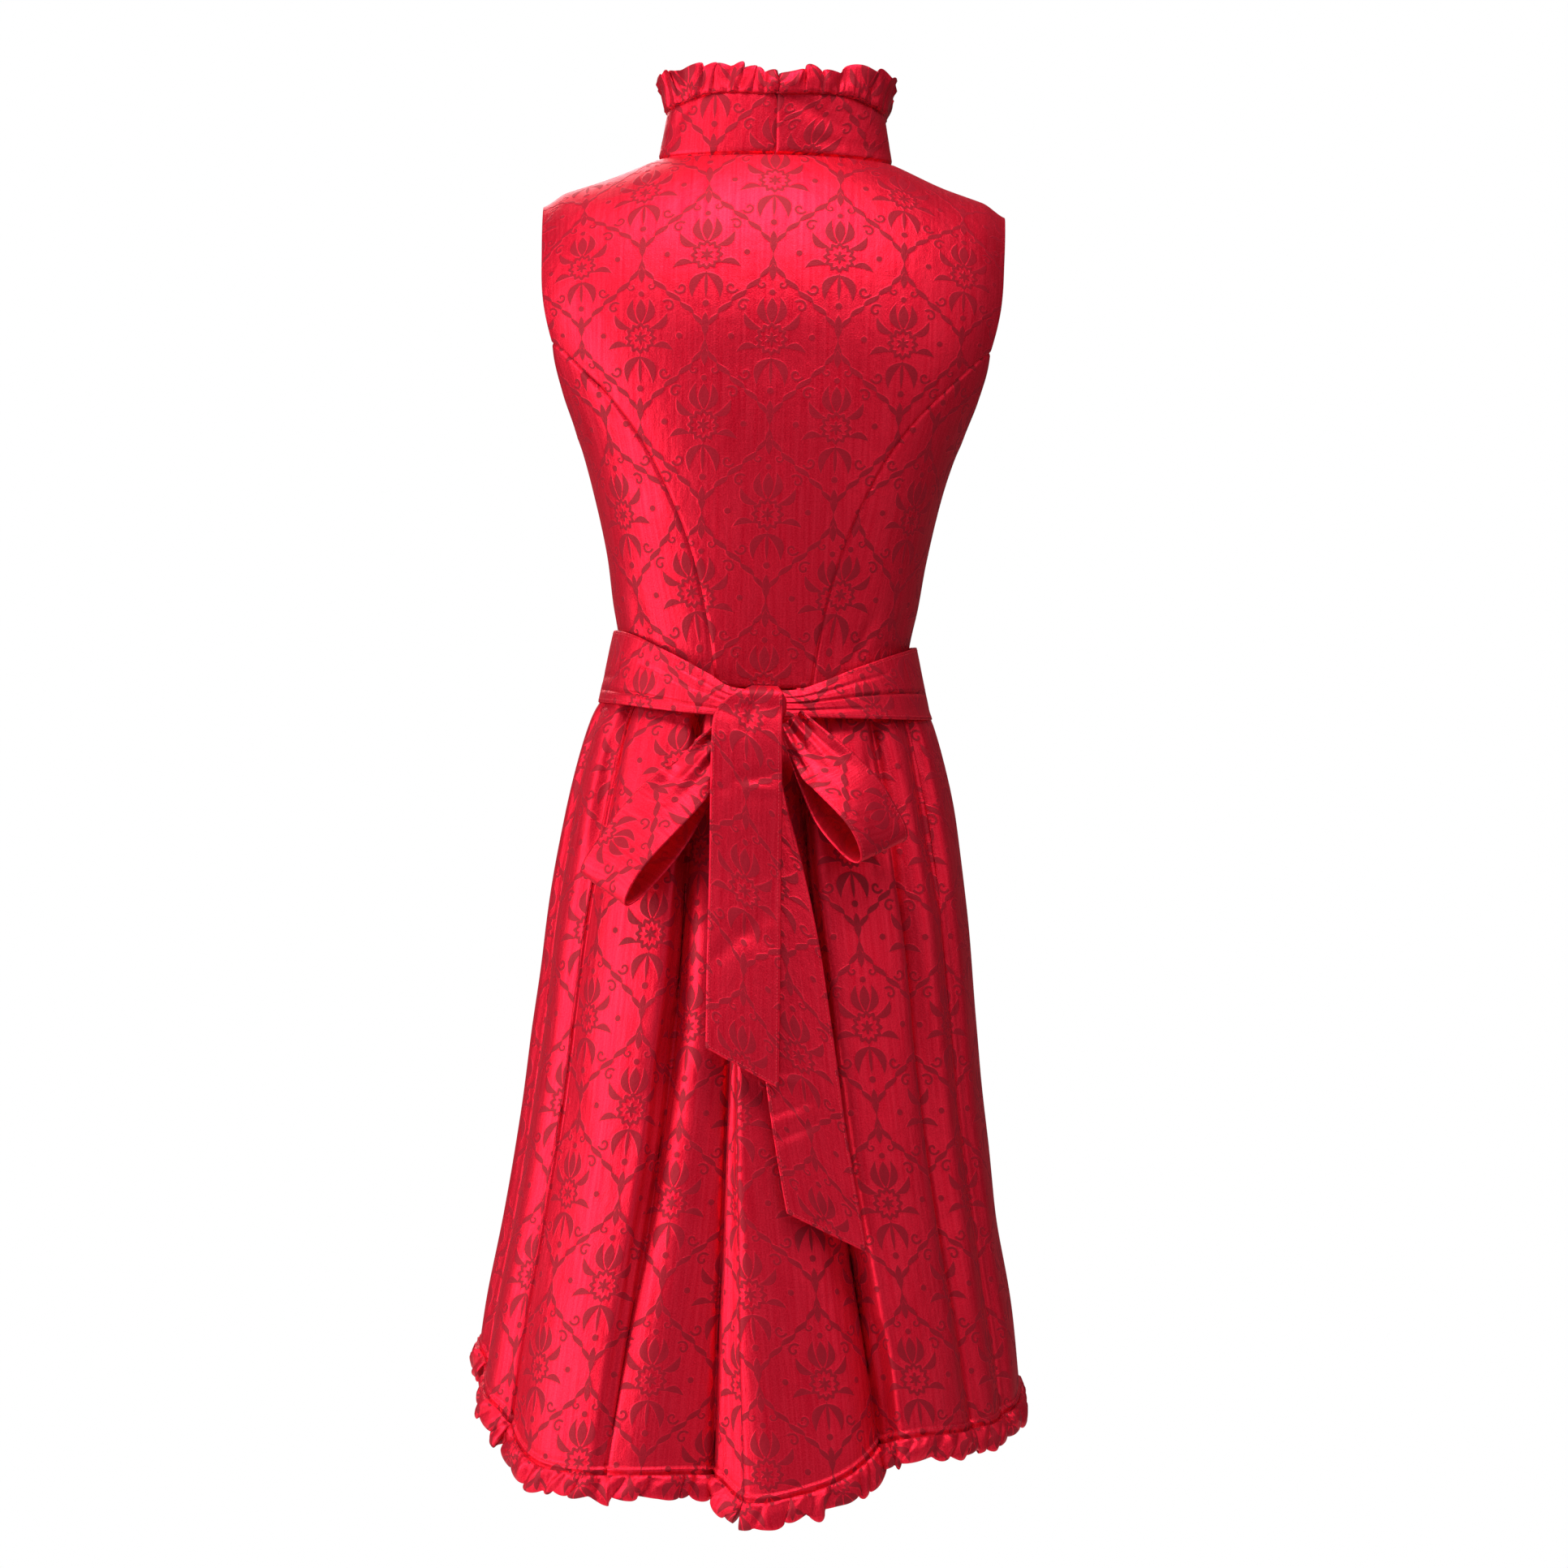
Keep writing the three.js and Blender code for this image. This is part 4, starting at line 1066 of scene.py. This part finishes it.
# How long one bump of each unevenness is, along the ruffle.
RUN = {"sway": 0.028, "pinch": 0.0042, "crumple": 0.0085, "uneven": 0.009, "swing": 0.017}
COLLAR_PUFFS = {"reach": 21.5 * MM, "wave": (10, 24), "slant": 0, "sway": 7 * MM, "swell": 7 * MM}
COLLAR_RUFFLE = {
    "left": {
        **COLLAR_PUFFS,
        "seed": 11,
        "first": [
            (-7, 0.8), (9, 0.86), (19, 0.88), (30, 1.0), (39, 0.93),
            (52, 0.93), (62, 1.0), (73, 0.95), (81, 1.0),
        ],
    },
    "right": {
        **COLLAR_PUFFS,
        "seed": 12,
        "first": [(-7, 0.76), (20.6, 0.92), (34, 0.7), (49, 1.02), (79, 1.04), (95, 0.95)],
    },
}
HEM_RUFFLE = {
    "reach": 21 * MM, "wave": (8, 26), "slant": 10 * MM, "sway": 8 * MM, "swell": 5 * MM,
    "seed": 21, "first": [(-5, 0.95)],
}


def puff_table(size, length):
    """The valleys' places and the puffs' heights: those listed, then uneven ones."""
    rng = np.random.default_rng(size["seed"])
    places = [place * MM for place, _ in size["first"]]
    heights = [height for _, height in size["first"]]
    while places[-1] < length + GATHER["beyond"]:
        places.append(places[-1] + mix(*size["wave"], rng.uniform() ** 1.3) * MM)
        heights.append(rng.uniform(*GATHER["heights"]))
    return np.array([-GATHER["beyond"], *places]), np.array([GATHER["before"], *heights])


def swelling(valleys, at, seed):
    """Which puff a place is in, how far over it, its width, its swell and the way it tips over.
    A puff is sharp in its valleys, round between them, and steeper on one side."""
    k = np.clip(np.searchsorted(valleys, at) - 1, 0, len(valleys) - 2)
    wide = valleys[k + 1] - valleys[k]
    t = np.clip((at - valleys[k]) / wide, 0, 1)
    skew = np.random.default_rng(seed).uniform(0, 1, len(valleys))[k]
    low, high = 0.45 + 0.5 * skew, 0.95 - 0.5 * skew
    peak = low / (low + high)
    shape = (t / peak) ** low * ((1 - t) / (1 - peak)) ** high
    return k, t, wide, shape, skew - 0.5


def ruffle_rail(seam, way, flare):
    """The seam at even steps: how far along it each is, the points, the ways along the seam,
    up the ruffle and out of it, and the flare there."""
    places = np.linspace(0, 1, int(arc(seam)[-1] / GATHER["step"]))
    old = arc(seam) / arc(seam)[-1]
    seam, way = sampled(places, old, seam), sampled(places, old, way)
    at = arc(seam)
    step = np.clip(np.arange(len(at))[:, None] + [-3, 3], 0, len(at) - 1)
    tangent = unit(seam[step[:, 1]] - seam[step[:, 0]])
    way = unit(way - tangent * np.sum(way * tangent, axis=-1, keepdims=True))
    out = np.cross(way, tangent)
    out = out * np.sign(np.sum(out * (seam * [1, 1, 0]), axis=-1).sum())
    return at, seam, tangent, way, out, np.interp(places, old, flare)[:, None]


def ruffle_swell(size, valleys, place, slant, around, reach):
    """How far the fold's two layers stand off its middle, and how far its puffs tip over."""
    seed, drift = size["seed"], slant * reach
    strength = np.random.default_rng(seed + 5).uniform(0.6, 1.1, len(valleys))
    k, _, wide, outer, tip = swelling(valleys, place - drift, seed)
    outer_swell = np.minimum(wide * GATHER["swell"], size["swell"]) * strength[k] * outer
    k, _, wide, inner, _ = swelling(valleys + GATHER["inner_shift"], place + drift, seed + 1)
    inner_swell = np.minimum(wide * GATHER["swell"], size["swell"]) * strength[k] * inner
    inner_swell = inner_swell * GATHER["inner"]
    pinch = np.abs(noise((place - drift) / RUN["pinch"], reach * 1.5, seed + 2))
    pinch = GATHER["pinch"] * pinch * (1 - reach) ** 0.6
    crumple = 0.5 - np.abs(noise((place - 1.5 * drift) / RUN["crumple"], reach * 1.8, seed + 6))
    thick = np.where(around < 0.5, outer_swell, inner_swell) * (0.35 + 0.65 * ease(reach / 0.5))
    thick = thick + pinch + GATHER["crumple"] * crumple * ease(reach / 0.4) + GATHER["thick"]
    return thick, GATHER["overhang"] * tip * outer * reach


def ruffle_height(size, valleys, heights, place, slant):
    """How high the fold stands over its seam: puffs, with dips between them."""
    k, t, _, edge, _ = swelling(valleys, place - slant, size["seed"])
    dips = np.minimum(heights, np.roll(heights, 1)) * GATHER["dip"]
    dip = mix(dips[k], dips[k + 1], t)
    uneven = GATHER["uneven"] * noise(place / RUN["uneven"], 0 * place, size["seed"] + 3)
    return size["reach"] * (dip + (heights[k] - dip) * edge + uneven)


def make_ruffle(node, seam, way, size, flare):
    """A closed, gathered fold of cloth that stands on a seam in the way given."""
    at, seam, tangent, way, out, flare = ruffle_rail(seam, way, flare)
    around = (np.arange(GATHER["rows"]) + 0.5) / GATHER["rows"]
    reach = np.sin(np.pi * around)[None, :] ** 0.85
    side = 1 if node.endswith("left") else -1
    place = at[:, None] if side > 0 else at[-1] - at[:, None]
    seed, still = size["seed"], 0 * place
    valleys, heights = puff_table(size, at[-1])
    slant = side * size["slant"] + size["sway"] * noise(place / RUN["sway"] + 3, still + 0.5, seed)
    thick, tipped = ruffle_swell(size, valleys, place, slant, around, reach)
    swing = GATHER["swing"] * noise(place / RUN["swing"], still + 5.5, seed + 4) * reach
    offset = np.cos(np.pi * around) * thick + flare * reach**2 + swing
    height = ruffle_height(size, valleys, heights, place, slant)
    stand = (height + GATHER["tucked"]) * reach - GATHER["tucked"]
    points = seam[:, None] + way[:, None] * stand[..., None] + out[:, None] * offset[..., None]
    points = points + tangent[:, None] * (side * tipped)[..., None]
    up = np.where(around < 0.5, reach, 2 - reach) * size["reach"]
    cloth = vec(place * GATHER["fullness"], up, 0 * up)
    piece = tube(f"{node}_cloth", points, cloth, CLOTH["ruffle"])
    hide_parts(node)
    cut = (float(at[-1]) * GATHER["fullness"], size["reach"] + GATHER["hidden"])


def tube(name, points, cloth, material):
    """A closed tube from a grid whose rows run once round, with zipped ends."""
    columns, rows = points.shape[:2]
    index = np.arange(columns * rows).reshape(columns, rows)
    k = np.arange(rows // 2 - 1)
    caps = [
        np.stack([end[k], end[k + 1], end[rows - 2 - k], end[rows - 1 - k]], axis=-1)
        for end in index[[0, -1]]
    ]
    square = bake_square(columns, rows + 1, (BAKE_LOW, BAKE_HIGH))
    spots = np.arange(len(square)).reshape(columns, rows + 1)
    cap_spots = [np.full((len(k), 4), spot) for spot in spots[[0, -1], rows // 2]]
    faces = np.concatenate([ring_faces(index), caps[0], caps[1][:, ::-1]])
    bake = square[np.concatenate([grid_faces(spots), *cap_spots])]
    return make_mesh(name, points.reshape(-1, 3), faces, cloth.reshape(-1, 3), bake, material)


# ---------------- skirt
def at_levels(z, top, mid, hem):
    """A value given at the waist, at mid height and at the hem, read off at a level."""
    return read([(PLEAT_HEM, hem), (PLEAT_MID, mid), (PLEAT_TOP, top)], z)


def skirt_ring(turn, z):
    """The skirt's section without folds."""
    return vec(*section(SKIRT, turn, z, SKIRT_ROUND), z)


def column_turn(column, z):
    """Where a column of the cloth lies at a level, as the pleats wander from waist to hem."""
    turn = column
    for top, mid, hem, *_ in PLEATS:
        turn = turn + (at_levels(z, top, mid, hem) - mid) * bell(wrap_turn(column - mid), PLEAT_FOLLOW)
    return turn


def skirt_point(column, z):
    """The skirt with its pleats. The bank that leans over a trough rolls steeply into it, and
    the cloth beyond starts lower and comes back slowly."""
    radius = (read(SKIRT, z, SIDE) + read(SKIRT, z, BACK)) / 2
    sink, shift = 0, 0
    share, lean_share = at_levels(z, *PLEAT_SHARE), at_levels(z, *LEAN_SHARE)
    for _, mid, _, deep_top, deep_mid, deep_hem, wide, lean in PLEATS:
        gap = np.radians(wrap_turn(column - mid)) * radius
        deep = at_levels(z, deep_top, deep_mid, deep_hem)
        beyond = -gap * math.copysign(1, lean)
        width = wide * share * np.where(beyond > 0, LAP["beyond"], LAP["over"])
        sink = sink + deep * LAP["trough"] * bell(gap, width)
        drop = LAP["drop"] * min(1, abs(lean) / LAP["full_lean"])
        sink = sink + deep * drop * np.exp(-np.abs(beyond) / LAP["run"]) * ease(beyond / LAP["edge"])
        sink = sink + deep * LAP["slit"] * bell(beyond - LAP["slit_at"], LAP["slit_wide"])
        bank = gap - math.copysign(LAP["bank_at"], lean) * wide * share
        shift = shift - lean * lean_share * bell(bank, wide * share * LAP["bank_wide"])
    turn = column_turn(column, z) + np.degrees(shift / radius)
    tangent = unit(skirt_ring(turn + 0.5, z) - skirt_ring(turn - 0.5, z))
    return skirt_ring(turn, z) + np.cross(tangent, [0, 0, 1]) * np.asarray(sink)[..., None]


def hem_level(column):
    """The hem's level at the foot of a column of the cloth."""
    return read(HEM, wrap_turn(column_turn(column, PLEAT_HEM)))


SKIRT_STEP = {"back": 2.3 * MM, "front": 3.2 * MM}
SKIRT_ROWS = 145
# The columns are even at this share of the way from the hem to mid height.
EVEN_AT = 0.45
# Extra columns at a lap, in degrees from its trough, and how near another column may be.
LAP_COLUMNS = (-0.7, -0.2, 0.15, 0.45, 0.7, 0.95, 1.25, 1.7)
LAP_CLEAR = 0.2
# Rows at the hem, by millimetres up a skirt this long.
HEM_ROWS = (0, 1.2, 2.2, 3.0, 3.7, 4.3, 4.9, 5.5, 6.2, 7.0, 8.0, 9.5, 11.5)
HEM_ROWS_LENGTH = 0.55
SKIRT_PANELS = {
    "back_right": (-90, 0),
    "back_left": (0, 90),
    "front_left": (90, 180),
    "front_right": (180, 270),
}


def panel_columns(start, end, cloth_step):
    """Columns of a skirt panel, evenly spaced over the cloth low on the skirt, and more of
    them at the laps."""
    fine = np.linspace(start, end, 1500)
    length = arc(skirt_point(fine, mix(hem_level(fine), PLEAT_MID, EVEN_AT)))
    even = np.interp(np.linspace(0, length[-1], int(length[-1] / cloth_step)), length, fine)
    middle = (start + end) / 2
    laps = [
        wrap_turn(row[1] - middle) - math.copysign(step, row[-1])
        for row in PLEATS
        for step in LAP_COLUMNS
    ]
    laps = middle + np.array(laps)
    laps = laps[(laps > start + 1) & (laps < end - 1)]
    apart = np.min(np.abs(even[:, None] - laps[None, :]), axis=1) > LAP_CLEAR
    apart[[0, -1]] = True
    return np.sort(np.concatenate([even[apart], laps]))


SKIRT_CREASES = [
    (0.070, -0.445, 0.062, -0.500, 4, 2.2),
    (0.112, -0.415, 0.122, -0.520, 5, 3.0),
    (-0.046, -0.425, -0.052, -0.470, 4, 2.0),
    (-0.080, -0.430, -0.090, -0.540, 5, 3.0),
    (-0.112, -0.425, -0.135, -0.560, 5, 3.0),
    (0.060, -0.640, 0.105, -0.790, 13, 2.2),
    (0.130, -0.700, 0.140, -0.860, 12, 2.0),
    (-0.045, -0.840, -0.035, -0.960, 12, 1.8),
    (-0.095, -0.860, -0.100, -0.945, 8, 3.0),
    (-0.125, -0.640, -0.150, -0.800, 12, 2.2),
]
# The rolled edge of the hem, the dip above it, and the line of stitches.
HEM_BEAD = {"up": 4.6 * MM, "half": 1.5 * MM, "high": 1.0 * MM}
HEM_DIP = {"up": 8.0 * MM, "half": 1.6 * MM, "deep": 0.5 * MM}
HEM_STITCH_UP = 6.8 * MM


def skirt_rows():
    """Rows of a skirt panel, from 0 at the hem to 1 at the waist."""
    low = np.array(HEM_ROWS) * MM / HEM_ROWS_LENGTH
    return np.concatenate([low, np.linspace(low[-1], 1, SKIRT_ROWS)[1:]])


def skirt_places(points, columns):
    """Places on the flat cloth. The weave keeps its scale on every bank between two pleats,
    and what the pleats take up is lost in their troughs."""
    troughs = np.sort([row[1] for row in PLEATS])
    troughs = np.concatenate([troughs - 360, troughs, troughs + 360])
    k = np.searchsorted(troughs, columns)
    banks = (troughs[k - 1] + troughs[k]) / 2
    across = arc(points)
    at_hem = across[:, 0]
    middle = np.empty_like(across)
    for bank in np.unique(banks):
        here = banks == bank
        inside = np.clip(bank, columns[0], columns[-1])
        for j in range(points.shape[1]):
            middle[here, j] = np.interp(inside, columns, across[:, j])
        middle[here] -= np.interp(inside, columns, at_hem)
    up = arc(points, 1)
    return np.stack([across - middle, up - up[:, -1:]], axis=-1)


def make_skirt_panel(name, ends):
    """A panel of the skirt with its length of hem ruffle. Returns the line of its stitches."""
    columns = panel_columns(*ends, SKIRT_STEP[name.split("_")[0]])
    z = mix(hem_level(columns)[:, None], WAIST_Z, skirt_rows()[None, :])
    points = skirt_point(columns[:, None], z)
    places = skirt_places(points, columns)
    height = from_edge(points, "bottom")
    bead = HEM_BEAD["high"] * bell(height - HEM_BEAD["up"], HEM_BEAD["half"])
    dip = HEM_DIP["deep"] * bell(height - HEM_DIP["up"], HEM_DIP["half"])
    points = worn(points, SKIRT_CREASES if "back" in name else (), uneven=0.9 * MM)
    points = sunk(points, dip - bead)
    sheet(f"skirt_{name}", points, places)
    hem, way = points[:, 0], points[:, 0] - points[:, 8]
    size = {**HEM_RUFFLE, "seed": HEM_RUFFLE["seed"] + 10 * list(SKIRT_PANELS).index(name)}
    make_ruffle(f"hem_ruffle_{name}", hem, way, size, np.full(len(hem), HEM_FLARE))
    return edge_line(points, "bottom", HEM_STITCH_UP)


# ---------------- sash and bow
EDGE_INSET = 2.0 * MM
SASH_CROWN = 1.5 * MM
SASH_ROWS = 40


def sash_sheet(node, points, column=0, edges=("top", "bottom")):
    """A stretch of the sash. Returns the lines of stitches along its edges."""
    places = flat_places(points, column)
    sheet(node, points, places, slot="sash", wall=SASH_WALL)
    return [edge_line(points, edge, EDGE_INSET) for edge in edges]


def sash_point(turn, up):
    """The sash's outer face; up is -1 on its lower edge and 1 on its upper one."""
    round_turn = wrap_turn(turn)
    z = read(SASH_RUN, round_turn) + up * read(SASH_RUN, round_turn, 2)
    return vec(*section(SASH, turn, z, SKIRT_ROUND, SASH_CROWN * (1 - up * up)), z)


# Folds of the sash: from turn, up to turn, up, then half width (in up) and depth (millimetres).
SASH_FOLDS = {
    "sash_left": [
        (2, -0.1, 50, 0.30, 0.07, 1.3),
        (2, 0.3, 32, 0.70, 0.05, 1.2),
        (3, -0.62, 88, -0.66, 0.045, 2.6),
        (60, -0.2, 92, -0.35, 0.10, 1.0),
    ],
    "sash_right": [
        (-88, -0.30, -2, 0.02, 0.045, 2.8),
        (-50, 0.50, -4, 0.38, 0.07, 1.2),
        (-36, -0.62, -2, -0.50, 0.06, 1.3),
    ],
    "sash_front": [
        (100, 0.2, 160, 0.35, 0.12, 1.2),
        (150, -0.35, 215, -0.25, 0.12, 1.3),
        (205, 0.3, 262, 0.1, 0.12, 1.2),
    ],
}
SASH_SPANS = {"sash_left": (0, 90, 110), "sash_right": (-90, 0, 110), "sash_front": (90, 270, 110)}


def fold(turn, up, row):
    """A trough along the sash that fades out at both ends."""
    start, low, end, high, wide, deep = row
    t = np.clip((turn - start) / (end - start), 0, 1)
    return deep * MM * np.sin(np.pi * t) ** 0.4 * bell(up - mix(low, high, t), wide)


def make_sash(node):
    start, end, steps = SASH_SPANS[node]
    turn, up = np.linspace(start, end, steps)[:, None], np.linspace(-1, 1, SASH_ROWS)[None, :]
    points = sash_point(turn, up)
    points = sunk(points, sum(fold(turn, up, row) for row in SASH_FOLDS[node]))
    points = worn(points, uneven=0.6 * MM)
    return sash_sheet(node, points)


# Ridges of the knot's wraps: height, bumps to a unit sideways and upward, and where they start.
KNOT_WRAPS = ((0.07, 9, 2.2, 0), (0.03, 17, -3, 1))


def make_knot():
    """The wrapped strip under the front tail: a squarish ball with the ridges of its wraps."""
    mesh = bmesh.new()
    bmesh.ops.create_icosphere(mesh, subdivisions=5, radius=1)
    ball = np.array([vertex.co[:] for vertex in mesh.verts])
    x, _, z = ball.T
    wrap = sum(high * np.sin(aside * x + up * z + start) for high, aside, up, start in KNOT_WRAPS)
    ball = signed_power(ball, KNOT["round"]) * (1 + wrap * (1 - np.abs(x)))[:, None]
    ball = ball * KNOT["half"] + KNOT["at"]
    for vertex, place in zip(mesh.verts, ball):
        vertex.co = place
    data = bpy.data.meshes.new("sash_knot_cloth")
    mesh.to_mesh(data)
    piece = cloth_piece("sash_knot_cloth", data, ball * [1, 0, 1], CLOTH["sash"])
    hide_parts("sash_knot")


LOOP_WAY = np.linspace(0.02, 0.98, 150)
LOOP_ROWS = 36
# How soon a loop's face tips over, how far its layers stand apart at the knot, how deep the
# folds out of the knot are and how far out they reach, and its unevenness.
LOOP_FORM = {"tips": 1.15, "apart": 2.4 * MM, "folds": 2.2 * MM, "fold_to": 0.6, "uneven": 0.8 * MM}


def loop_sheet(row):
    """A flattened loop of folded strip: way runs out along the front layer to the bend at 0.5
    and home along the back layer; the rows run over the strip's width."""
    start, end = np.array(row["from"]), np.array(row["to"])
    length = unit(end - start)
    front = unit(np.array([0, 1, 0]) - length * length[1])
    low = np.cross(front, length) * row["side"]
    way, across = LOOP_WAY[:, None], np.linspace(-1, 1, LOOP_ROWS)[None, :]
    out = (1 - np.cos(2 * np.pi * way)) / 2
    angle = np.radians(row["tilt"]) * ease(LOOP_FORM["tips"] * out)
    layer = front * np.cos(angle)[..., None] - low * np.sin(angle)[..., None]
    width = low * np.cos(angle)[..., None] + front * np.sin(angle)[..., None]
    gape = row["open"] * np.sin(2 * np.pi * way) * out**0.6
    gape = gape + LOOP_FORM["apart"] * np.cos(np.pi * way)
    half = read(LOOP_HALF, out)
    pinch = LOOP_FORM["folds"] * np.cos(across * 8 + 1) * (1 - ease(out / LOOP_FORM["fold_to"]))
    pinch = pinch + LOOP_FORM["uneven"] * noise(way * 14, across * 2, 6)
    pinch = pinch * np.sign(np.cos(np.pi * way))
    points = start + (end - start) * out[..., None] + layer * gape[..., None]
    return points + width * (across * half)[..., None] + layer * pinch[..., None]


# A deep dimple where a loop's front layer comes out of the knot, written as a crease is.
LOOP_DIMPLES = {
    "bow_loop_left": (0.052, -0.440, 0.070, -0.464, 8, 10),
    "bow_loop_right": (-0.020, -0.446, -0.038, -0.470, 5, 5),
}


def make_loop(node, row):
    points = loop_sheet(row)
    front = ease((0.5 - LOOP_WAY) / 0.12)[:, None]
    if row["side"] > 0:
        points, front = points[::-1], front[::-1]
    dimple = crease(points[..., 0], points[..., 2], LOOP_DIMPLES[node])
    return sash_sheet(node, sunk(points, dimple * front))


TAIL_CREASES = {
    "tail_front": [
        (-0.020, -0.462, 0.036, -0.476, 5, 1.2),
        (-0.018, -0.478, 0.038, -0.470, 4, -0.9),
        (-0.014, -0.560, 0.038, -0.606, 7, 1.4),
        (-0.018, -0.592, 0.030, -0.572, 7, 1.0),
        (0.004, -0.402, 0.014, -0.440, 4, 1.4),
    ],
    "tail_rear": [
        (-0.046, -0.700, 0.000, -0.716, 4, 1.6),
        (-0.050, -0.716, -0.010, -0.732, 4, 1.4),
        (-0.040, -0.690, -0.006, -0.684, 3, -1.0),
        (-0.070, -0.770, -0.040, -0.800, 6, 1.0),
    ],
}


TAIL_STEPS = {"across": 37, "up": 140}


def make_tail(node, run, lowest):
    """A tail of the sash that hangs over the skirt's form."""
    across = np.linspace(-1, 1, TAIL_STEPS["across"])[:, None]
    up = np.linspace(0, 1, TAIL_STEPS["up"])[None, :]
    z = mix(lowest - TAIL_END["slant"] * (1 - across) / 2, run[-1][0], up)
    x = read(run, z) + across * read(run, z, 2)
    ratio = np.minimum(1, np.abs(x) / read(SKIRT, z, SIDE))
    bow = (1 - ratio ** (2 / SKIRT_ROUND)) ** (SKIRT_ROUND / 2)
    points = vec(x, read(SKIRT, z, BACK) * bow + read(run, z, 3), z)
    points = worn(points, TAIL_CREASES[node], uneven=0.8 * MM)
    edges = ("start", "end", "bottom")
    return sash_sheet(node, points, len(points) // 2, edges)


# ---------------- the dirndl
def make_dirndl():
    make_back_centre()
    for name, side in (("left", 1), ("right", -1)):
        make_bodice_side(side, name)
        make_collar(side, name)
    hem_lines = [make_skirt_panel(name, ends) for name, ends in SKIRT_PANELS.items()]
    stitches("hem_stitching", hem_lines)
    sash_lines = [line for node in SASH_SPANS for line in make_sash(node)]
    make_knot()
    for node, row in LOOPS.items():
        sash_lines += make_loop(node, row)
    sash_lines += make_tail("tail_front", TAIL_FRONT, TAIL_END["front"])
    sash_lines += make_tail("tail_rear", TAIL_REAR, TAIL_END["rear"])
    stitches("sash_stitching", sash_lines)


# ---------------- studio
FLOOR = {"z": -1.45, "radius": 2.0, "grey": (0.86, 0.86, 0.86, 1), "rough": 0.7}
CAMERA = {"away": 3.2, "z": -0.472, "lens": 96.17, "sensor": 36, "shift": 0.0145, "roll": 1.3}
AIR_GLOW = 0.09
# Lights: place, what they aim at, size and power.
LIGHTS = {
    "key": ((0.18, 1.10, 1.80), (0, 0.05, -0.20), (2.4, 0.8), 80),
    "side": ((2.0, 0.75, -0.35), (0, 0, -0.65), (0.7, 1.6), 38),
    "fill": ((-2.2, 1.7, 0.2), (0, 0, -0.5), (1.6, 2.0), 12),
    "back": ((0.8, -2.6, 1.4), (0, 0, -0.4), (1.6, 1.6), 42),
}


def make_camera():
    """A camera square behind the wearer, level, and rolled a little."""
    data = bpy.data.cameras.new("camera")
    camera = placed("camera", data)
    data.sensor_width = CAMERA["sensor"]
    data.lens = CAMERA["lens"]
    data.shift_x = CAMERA["shift"]
    camera.location = (0, CAMERA["away"], CAMERA["z"])
    camera.rotation_euler = Euler((math.radians(90), 0, math.radians(180)))
    camera.rotation_euler.rotate_axis("Z", math.radians(CAMERA["roll"]))
    bpy.context.scene.camera = camera


def area_light(name, place, aim, size, power):
    data = bpy.data.lights.new(name, "AREA")
    data.shape = "RECTANGLE"
    data.size, data.size_y = size
    data.energy = power
    light = placed(name, data)
    light.location = place
    light.rotation_euler = (Vector(aim) - Vector(place)).to_track_quat("-Z", "Y").to_euler()


def make_floor():
    """A pale round floor that fades into the white surroundings."""
    mesh = bmesh.new()
    bmesh.ops.create_circle(mesh, cap_ends=True, segments=96, radius=FLOOR["radius"])
    data = bpy.data.meshes.new("floor")
    mesh.to_mesh(data)
    floor = placed("floor", data)
    floor.location.z = FLOOR["z"]
    material, _, shader = new_material("pale_floor")
    shader.inputs["Base Color"].default_value = FLOOR["grey"]
    shader.inputs["Roughness"].default_value = FLOOR["rough"]
    data.materials.append(material)


def make_world(strength):
    """Soft white surroundings, seen as pure white and shining at this strength."""
    world = bpy.data.worlds.new("studio")
    world.use_nodes = True
    tree = world.node_tree
    background = tree.nodes["Background"]
    background.inputs["Color"].default_value = (1, 1, 1, 1)
    seen = Maths(tree, tree.nodes.new("ShaderNodeLightPath").outputs["Is Camera Ray"])
    tree.links.new((seen * (1 - strength) + strength).socket, background.inputs["Strength"])
    bpy.context.scene.world = world
    bpy.context.scene.view_settings.view_transform = "Standard"


make_dirndl()
make_camera()
make_floor()
make_world(AIR_GLOW)
for name, light in LIGHTS.items():
    area_light(name, *light)
